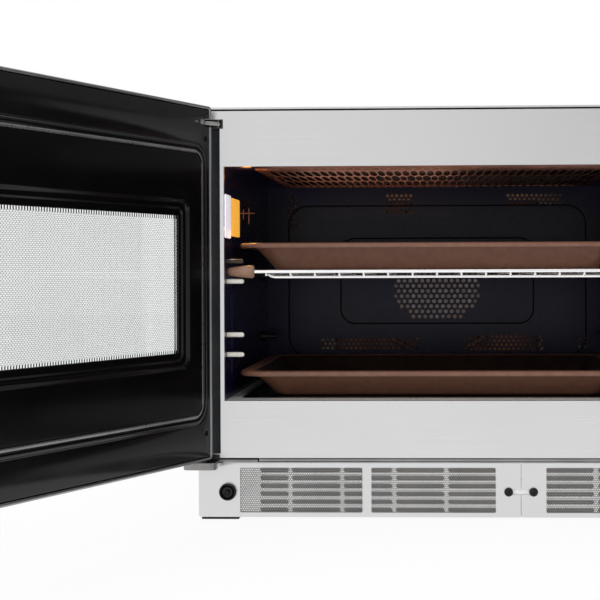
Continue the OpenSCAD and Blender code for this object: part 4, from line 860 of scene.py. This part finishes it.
def rackForm(d):
    middle, backY = d["middle"], d["frontY"] + 4 * d["step"]
    parts = []
    for i, end in enumerate(d["ends"]):
        y = d["frontY"] + i * d["step"]
        parts.append(bar([(middle - end, y, d["wireZ"]), (middle + end, y, d["wireZ"])], d["wireR"], 16))
    for i in range(d["rods"]):
        x = middle + (i - (d["rods"] - 1) / 2) * d["rodPitch"]
        ends = (d["frontY"] - d["rodPast"], backY + d["rodPast"])
        parts.append(bar([(x, y, d["rodZ"]) for y in ends], d["rodR"]))
    bend = [(d["lowX"] + out, d["lowZ"] + up) for out, up in d["bend"]]
    for y in (d["frontY"] + d["lowIn"], backY - d["lowIn"]):
        parts.append(bar([(middle - across, y, z) for across, z in bend]
                         + [(middle + across, y, z) for across, z in reversed(bend)], d["lowR"]))
    return together(*parts)


makePiece("rack_wires", rackForm(rackWires), chromedWire, "rack", ("wire_rack",))

# Bumpers on the front wire's ends, tapered to the outside. Rows are (way in from the radius, way along).
rackBumper = {
    "radius": 6.5, "half": 197,
    "rows": ((4.3, 0), (3.8, 0), (3, 0.7), (2.4, 2.6), (2, 6), (1.4, 11), (0.8, 16), (0.3, 20), (0.2, 22.8),
        (0.7, 24.3), (1.8, 25), (4.3, 25), (4.4, 23), (4.4, 2))}


def rackBumperForm(d, side):
    foot = (rackWires["middle"] + side * d["half"], rackWires["frontY"], rackWires["wireZ"])
    return turned([(d["radius"] - by, along) for by, along in d["rows"]], foot, (-side, 0, 0))


makePiece("rack_sleeves", together(*[rackBumperForm(rackBumper, side) for side in (-1, 1)]), mouldedSilicone,
          "rack", ("rack_bumpers",))
print("rack and pans made")

# Ceiling grille: sheet of staggered long slots with a plain margin, and wide slots over the element's middle
ceilingGrille = {
    "middle": (-77, -81), "half": (173, 152), "corner": 24, "z": 327.3, "pitch": 8.1, "hole": 7.1,
    "stretch": 10.5, "plainY": -180, "wideX": 66, "wideY": (-92, -40), "rim": 5,
    "rimRows": ((0, 0.7), (0, 0), (0.8, -0.5), (6, -0.5), (7, 0), (7, 0.7))}


def ceilingGrilleForms(d):
    low, high = around(d["middle"], d["half"])

    def kindOf(u, v):
        column = round((u - low[0]) / (d["pitch"] / 2))
        wide = abs(u - d["middle"][0]) < d["wideX"] and within(v, d["wideY"])
        return None if wide and column % 4 < 2 else v > d["plainY"]

    edge = roundRing(*inset(low, high, d["rim"]), d["corner"] - d["rim"], 10)
    sheet = punchedSheet(edge, d["pitch"], d["hole"], lambda u, v: (u, v, d["z"]), squash=d["stretch"],
                         kindOf=kindOf)
    rim = loft([[(u, v, d["z"] + z) for u, v in roundRing(*inset(low, high, by), d["corner"] - by, 12)]
                for by, z in d["rimRows"]], loop=True)
    return sheet, rim


sheet, rim = ceilingGrilleForms(ceilingGrille)
makePiece("grille_sheet", sheet, tintedSteel, "casing", ("ceiling_grille",), closed=False,
          thickness=0.6)
makePiece("grille_rim", rim, tintedSteel, "casing")

# Painted shade lines where the back wall's two raised panels begin, a dark strip at each step; each panel is
# (half size, corner radius, y), and the line's section goes (way in, way back)
wallStepShade = {
    "middle": (-77, 219), "panels": (((172.5, 87), 22, 93.8), ((111.5, 49), 16, 91.8)),
    "section": ((-1.7, 0.3), (-1.36, 0), (-0.17, 0), (0.1, -1.9), (0.3, -1.9), (0.3, 0.3))}


def wallStepShadeForm(d):
    parts = []
    for half, corner, y in d["panels"]:
        low, high = around(d["middle"], half)
        parts.append(panelLoft([(*inset(low, high, by), corner - by, y + dy) for by, dy in d["section"]],
                               loop=True, steps=10))
    return together(*parts)


makePiece("wall_step_shade", wallStepShadeForm(wallStepShade), shadedEnamel, "casing")

# Wire clip beside the lamp: a pin out of the wall with two cross wires
lampClip = {
    "y": -136, "pin": ((-275, 289), (-260, 289)), "pinRadius": 0.7, "radius": 0.5,
    "wires": (((-271.5, 283), (-271.5, 293)), ((-266, 278), (-266, 294)))}


def lampClipForm(d):
    rods = [(d["pin"], d["pinRadius"])] + [(wire, d["radius"]) for wire in d["wires"]]
    return together(*[bar([(x, d["y"], z) for x, z in ends], radius) for ends, radius in rods])


makePiece("lamp_clip", lampClipForm(lampClip), tintedSteel, "casing")

paint(firedEnamel, "cavity_ceiling", "cavity_back", "cavity_side_walls")
paint(blastedSteel, "cavity_floor")
paint(glassCeramic, "floor_plate")

# Pegs: only the lower front ones stay pale, the others are dark from heat, with painted highlights on their
# tops
pegHeatAndHighlight = {"backY": 0, "upperZ": 236, "top": 0.75}


def isHeated(c):
    return c.y > pegHeatAndHighlight["backY"] or c.z > pegHeatAndHighlight["upperZ"]


pegs = dressed("rack_pegs", glazedCeramic, "casing", 0.7)
paintPart(pegs, heaterSheath, lambda c, n: isHeated(c))
# The heated pegs' upward faces get polished steel as painted highlights
paintPart(pegs, polishedSteel, lambda c, n: isHeated(c) and n.z > pegHeatAndHighlight["top"])

# Lamp window in the left wall: a mica plate and the lit screen beside it
lampWindow = {
    "x": (-275.3, -274.1), "radius": 1.5, "bevel": 0.4, "lamp_plate": ((-236.2, 262), (-203.5, 303)),
    "lamp_screen": ((-198, 264.5), (-145, 301.5))}


def lampWindowForm(d, node):
    back, front = d["x"]
    return loft([[(x, u, v) for u, v in roundRing(*inset(*d[node], by), d["radius"], 4)]
                 for x, by in ((back, 0), (front - d["bevel"], 0), (front, d["bevel"]))], caps=True)


for node, material, slot in (("lamp_plate", litMica, "lamp_mica"), ("lamp_screen", litScreen, "lamp_steel")):
    makePiece(node + "_soft", lampWindowForm(lampWindow, node), material, "casing", (node,))
paint(lampGlass, "lamp_bulb")
paint(galvanised, "lamp_housing", "waveguide", "base_tray", "rear_panel")
paint(heaterSheath, "grill_element", "ring_element", "grill_reflector", "fan_housing")
paint(castAluminium, "fan_wheel", "antenna", "magnetron")
paint(platedSteel, "fan_motor", "antenna_motor", "casing_screws")
paint(circuitBoard, "inverter", "control_board")
paint(mouldedPlastic, "cooling_fan", "cooling_shroud", "interlock_switches", "cord_gland")
print("cavity made")

dressed("face_frame", brushedSteel, "casing", 0.35)
dressed("outer_wrapper", brushedSteel, "casing", 0.35)
paint(blastedSteel, "base_front")
paint(blackenedSteelAndShade, "hinge_post")
dressed("top_hinge_block", mouldedPlastic, "casing", 0.4)
dressed("top_hinge_arm", millAluminium, "casing", 0.2)

# Bottom hinge plate: its outer end gets the post's dark steel as painted shadow from the door above and in
# the gap behind, but for the front edge
hingeLeafShade = {"shadeX": -283, "frontY": -243, "top": 0.9}
leaf = dressed("bottom_hinge_plate", tumbledSteel, "casing", 0.8)
paintPart(leaf, blackenedSteelAndShade, lambda c, n: c.x < hingeLeafShade["shadeX"]
          and (c.y > hingeLeafShade["frontY"] or n.z > hingeLeafShade["top"]))

# Black corner bracket between the post and the bottom hinge plate
cornerBracket = {"x": (-299.4, -279.4), "y": (-243.3, -241.8), "z": (55.4, 60.4)}
makePiece("corner_bracket", block(**cornerBracket), mouldedPlastic, "casing", bevel=0.5)
dressed("control_fascia", fasciaPlastic, "casing", 1.2)
paint(displayGlass, "touch_display")
dressed("start_button", spunSteel, "start", 0.6)
print("casing made")

# Camera, as read from the photo's vanishing points (metres and degrees)
photoView = {
    "place": (-0.0773, -1.521, 0.2296), "turn": (90, 0.2, 1.86), "lens": 82.86, "sensor": 36,
    "shift": (-0.153, -0.047)}
camera = addObject("camera", bpy.data.cameras.new("camera"))
camera.location = photoView["place"]
camera.rotation_euler = [radians(turn) for turn in photoView["turn"]]
camera.data.lens, camera.data.sensor_width = photoView["lens"], photoView["sensor"]
camera.data.shift_x, camera.data.shift_y = photoView["shift"]
scene.camera = camera


# What the eye sees straight on or through glass, and what it sees in reflections too
def seenRays(tree):
    rays = addNode(tree, "LightPath").outputs
    direct = addNode(tree, "Math", {0: rays["Is Camera Ray"], 1: rays["Is Transmission Ray"]},
                     operation="MAXIMUM")
    return direct, addNode(tree, "Math", {0: direct, 1: rays["Is Glossy Ray"]}, operation="MAXIMUM")


# White studio: what the eye and the gloss see is white, what lights the object is softer.
# In reflections it is darker on the right, and a black flag stands behind the oven there,
# which the open door's inside mirrors.
studio = {
    "fill": 0.72, "white": "#ffffff", "flagAim": (0.885, 0.465, 0),
    "rightSide": {"From Min": -0.1, "From Max": 0.25, "To Min": 1, "To Max": 0.5},
    "flagSide": {"From Min": 0.75, "From Max": 0.93, "To Min": 1, "To Max": 0.03},
    "flagTop": {"From Min": 0.04, "From Max": 0.13, "To Min": 0, "To Max": 0.5}}
world = bpy.data.worlds.new("studio")
scene.world = world
world.use_nodes = True
tree = world.node_tree
direct, seen = seenRays(tree)
where = addNode(tree, "TexCoord").outputs["Generated"]
aim = addNode(tree, "SeparateXYZ", {0: where}).outputs
toFlag = addNode(tree, "VectorMath", {0: where, 1: studio["flagAim"]}, operation="DOT_PRODUCT")
side = addNode(tree, "MapRange", {"Value": aim["X"], **studio["rightSide"]})
flagSide = addNode(tree, "MapRange", {"Value": toFlag.outputs["Value"], **studio["flagSide"]})
flagTop = addNode(tree, "MapRange", {"Value": aim["Z"], **studio["flagTop"]})
flag = addNode(tree, "Math", {0: flagSide, 1: flagTop}, operation="MAXIMUM")
shaded = addNode(tree, "Math", {0: side, 1: flag}, operation="MULTIPLY")
gloss = addNode(tree, "Math", {0: shaded, 1: direct}, operation="MAXIMUM")
fill = addNode(tree, "Background", {"Color": studio["white"], "Strength": studio["fill"]})
white = addNode(tree, "Background", {"Color": studio["white"], "Strength": gloss})
both = addNode(tree, "MixShader", {0: seen, 1: fill, 2: white})
setInput(tree, tree.nodes["World Output"].inputs["Surface"], both)


# Soft lamp: a square of light aimed at a point
def makeLamp(name, place, target, size, power, colour="#ffffff"):
    lamp = addObject(name, bpy.data.lights.new(name, "AREA"))
    lamp.data.size, lamp.data.energy = size, power
    lamp.data.color = hexToLinear(colour)[:3]
    lamp.location = place
    lamp.rotation_euler = (Vector(target) - Vector(place)).to_track_quat("-Z", "Y").to_euler()
    lamp.visible_glossy = place[1] > -0.5  # the lamps before the oven only light, the white studio mirrors


# Place, target and size in metres, power in watts
makeLamp("key_lamp", (-0.9, -1.9, 1.7), (0, 0, 0.2), 2.2, 22)
makeLamp("top_lamp", (0.2, 0.2, 2.2), (0, 0, 0.3), 2, 12)
makeLamp("low_lamp", (0, -1.5, 0.07), (-0.05, -0.2, 0.13), 0.12, 1.2)
makeLamp("cavity_lamp", (-0.13, -0.15, 0.288), (-0.13, -0.149, 0.33), 0.18, 0.018, "#ffc9ae")
makeLamp("grille_lamp", (-0.14, -0.04, 0.296), (-0.14, -0.039, 0.33), 0.16, 0.06, "#ffc9ae")
makeLamp("ceiling_spot", (-0.258, -0.212, 0.318), (-0.258, -0.214, 0.328), 0.006, 0.006, "#ffa04a")
makeLamp("rim_spot", (-0.259, -0.206, 0.272), (-0.259, -0.207, 0.256), 0.008, 0.006, "#ffc060")
makeLamp("fan_glow", (-0.077, 0.098, 0.219), (-0.077, 0.2, 0.219), 0.2, 0.004, "#ff9a60")
ductGlows = {
    "places": ((-0.15, 0.12), (0, 0.12), (-0.15, 0.31), (0, 0.31)), "y": 0.1, "towards": 0.2, "size": 0.1,
    "power": 0.012, "colour": "#ffb070"}  # light behind the groups of holes
for i, (x, z) in enumerate(ductGlows["places"]):
    makeLamp(f"duct_glow_{i + 1}", (x, ductGlows["y"], z), (x, ductGlows["towards"], z), ductGlows["size"],
             ductGlows["power"], ductGlows["colour"])

# Floor: pale and plain, with the object's own soft shadow
whiteFloor = {"half": 6, "paper": "#fbfbfb", "white": "#ffffff", "share": 0.9}
half = whiteFloor["half"]
floorMesh = bpy.data.meshes.new("floor")
floorMesh.from_pydata([(x, y, 0) for x, y in rectangle((-half, -half), (half, half))], [], [(0, 1, 2, 3)])
floor = addObject("floor", floorMesh)
paper = bpy.data.materials.new("white_paper")
paper.use_nodes = True
tree = paper.node_tree
direct, seen = seenRays(tree)
share = addNode(tree, "Math", {0: seen, 1: whiteFloor["share"]}, operation="MULTIPLY")
matt = addNode(tree, "BsdfDiffuse", {"Color": whiteFloor["paper"]})
glow = addNode(tree, "Emission", {"Color": whiteFloor["white"], "Strength": 1})
both = addNode(tree, "MixShader", {0: share, 1: matt, 2: glow})
setInput(tree, tree.nodes["Material Output"].inputs["Surface"], both)
floorMesh.materials.append(paper)
scene.view_settings.view_transform = "Standard"
print("studio made")
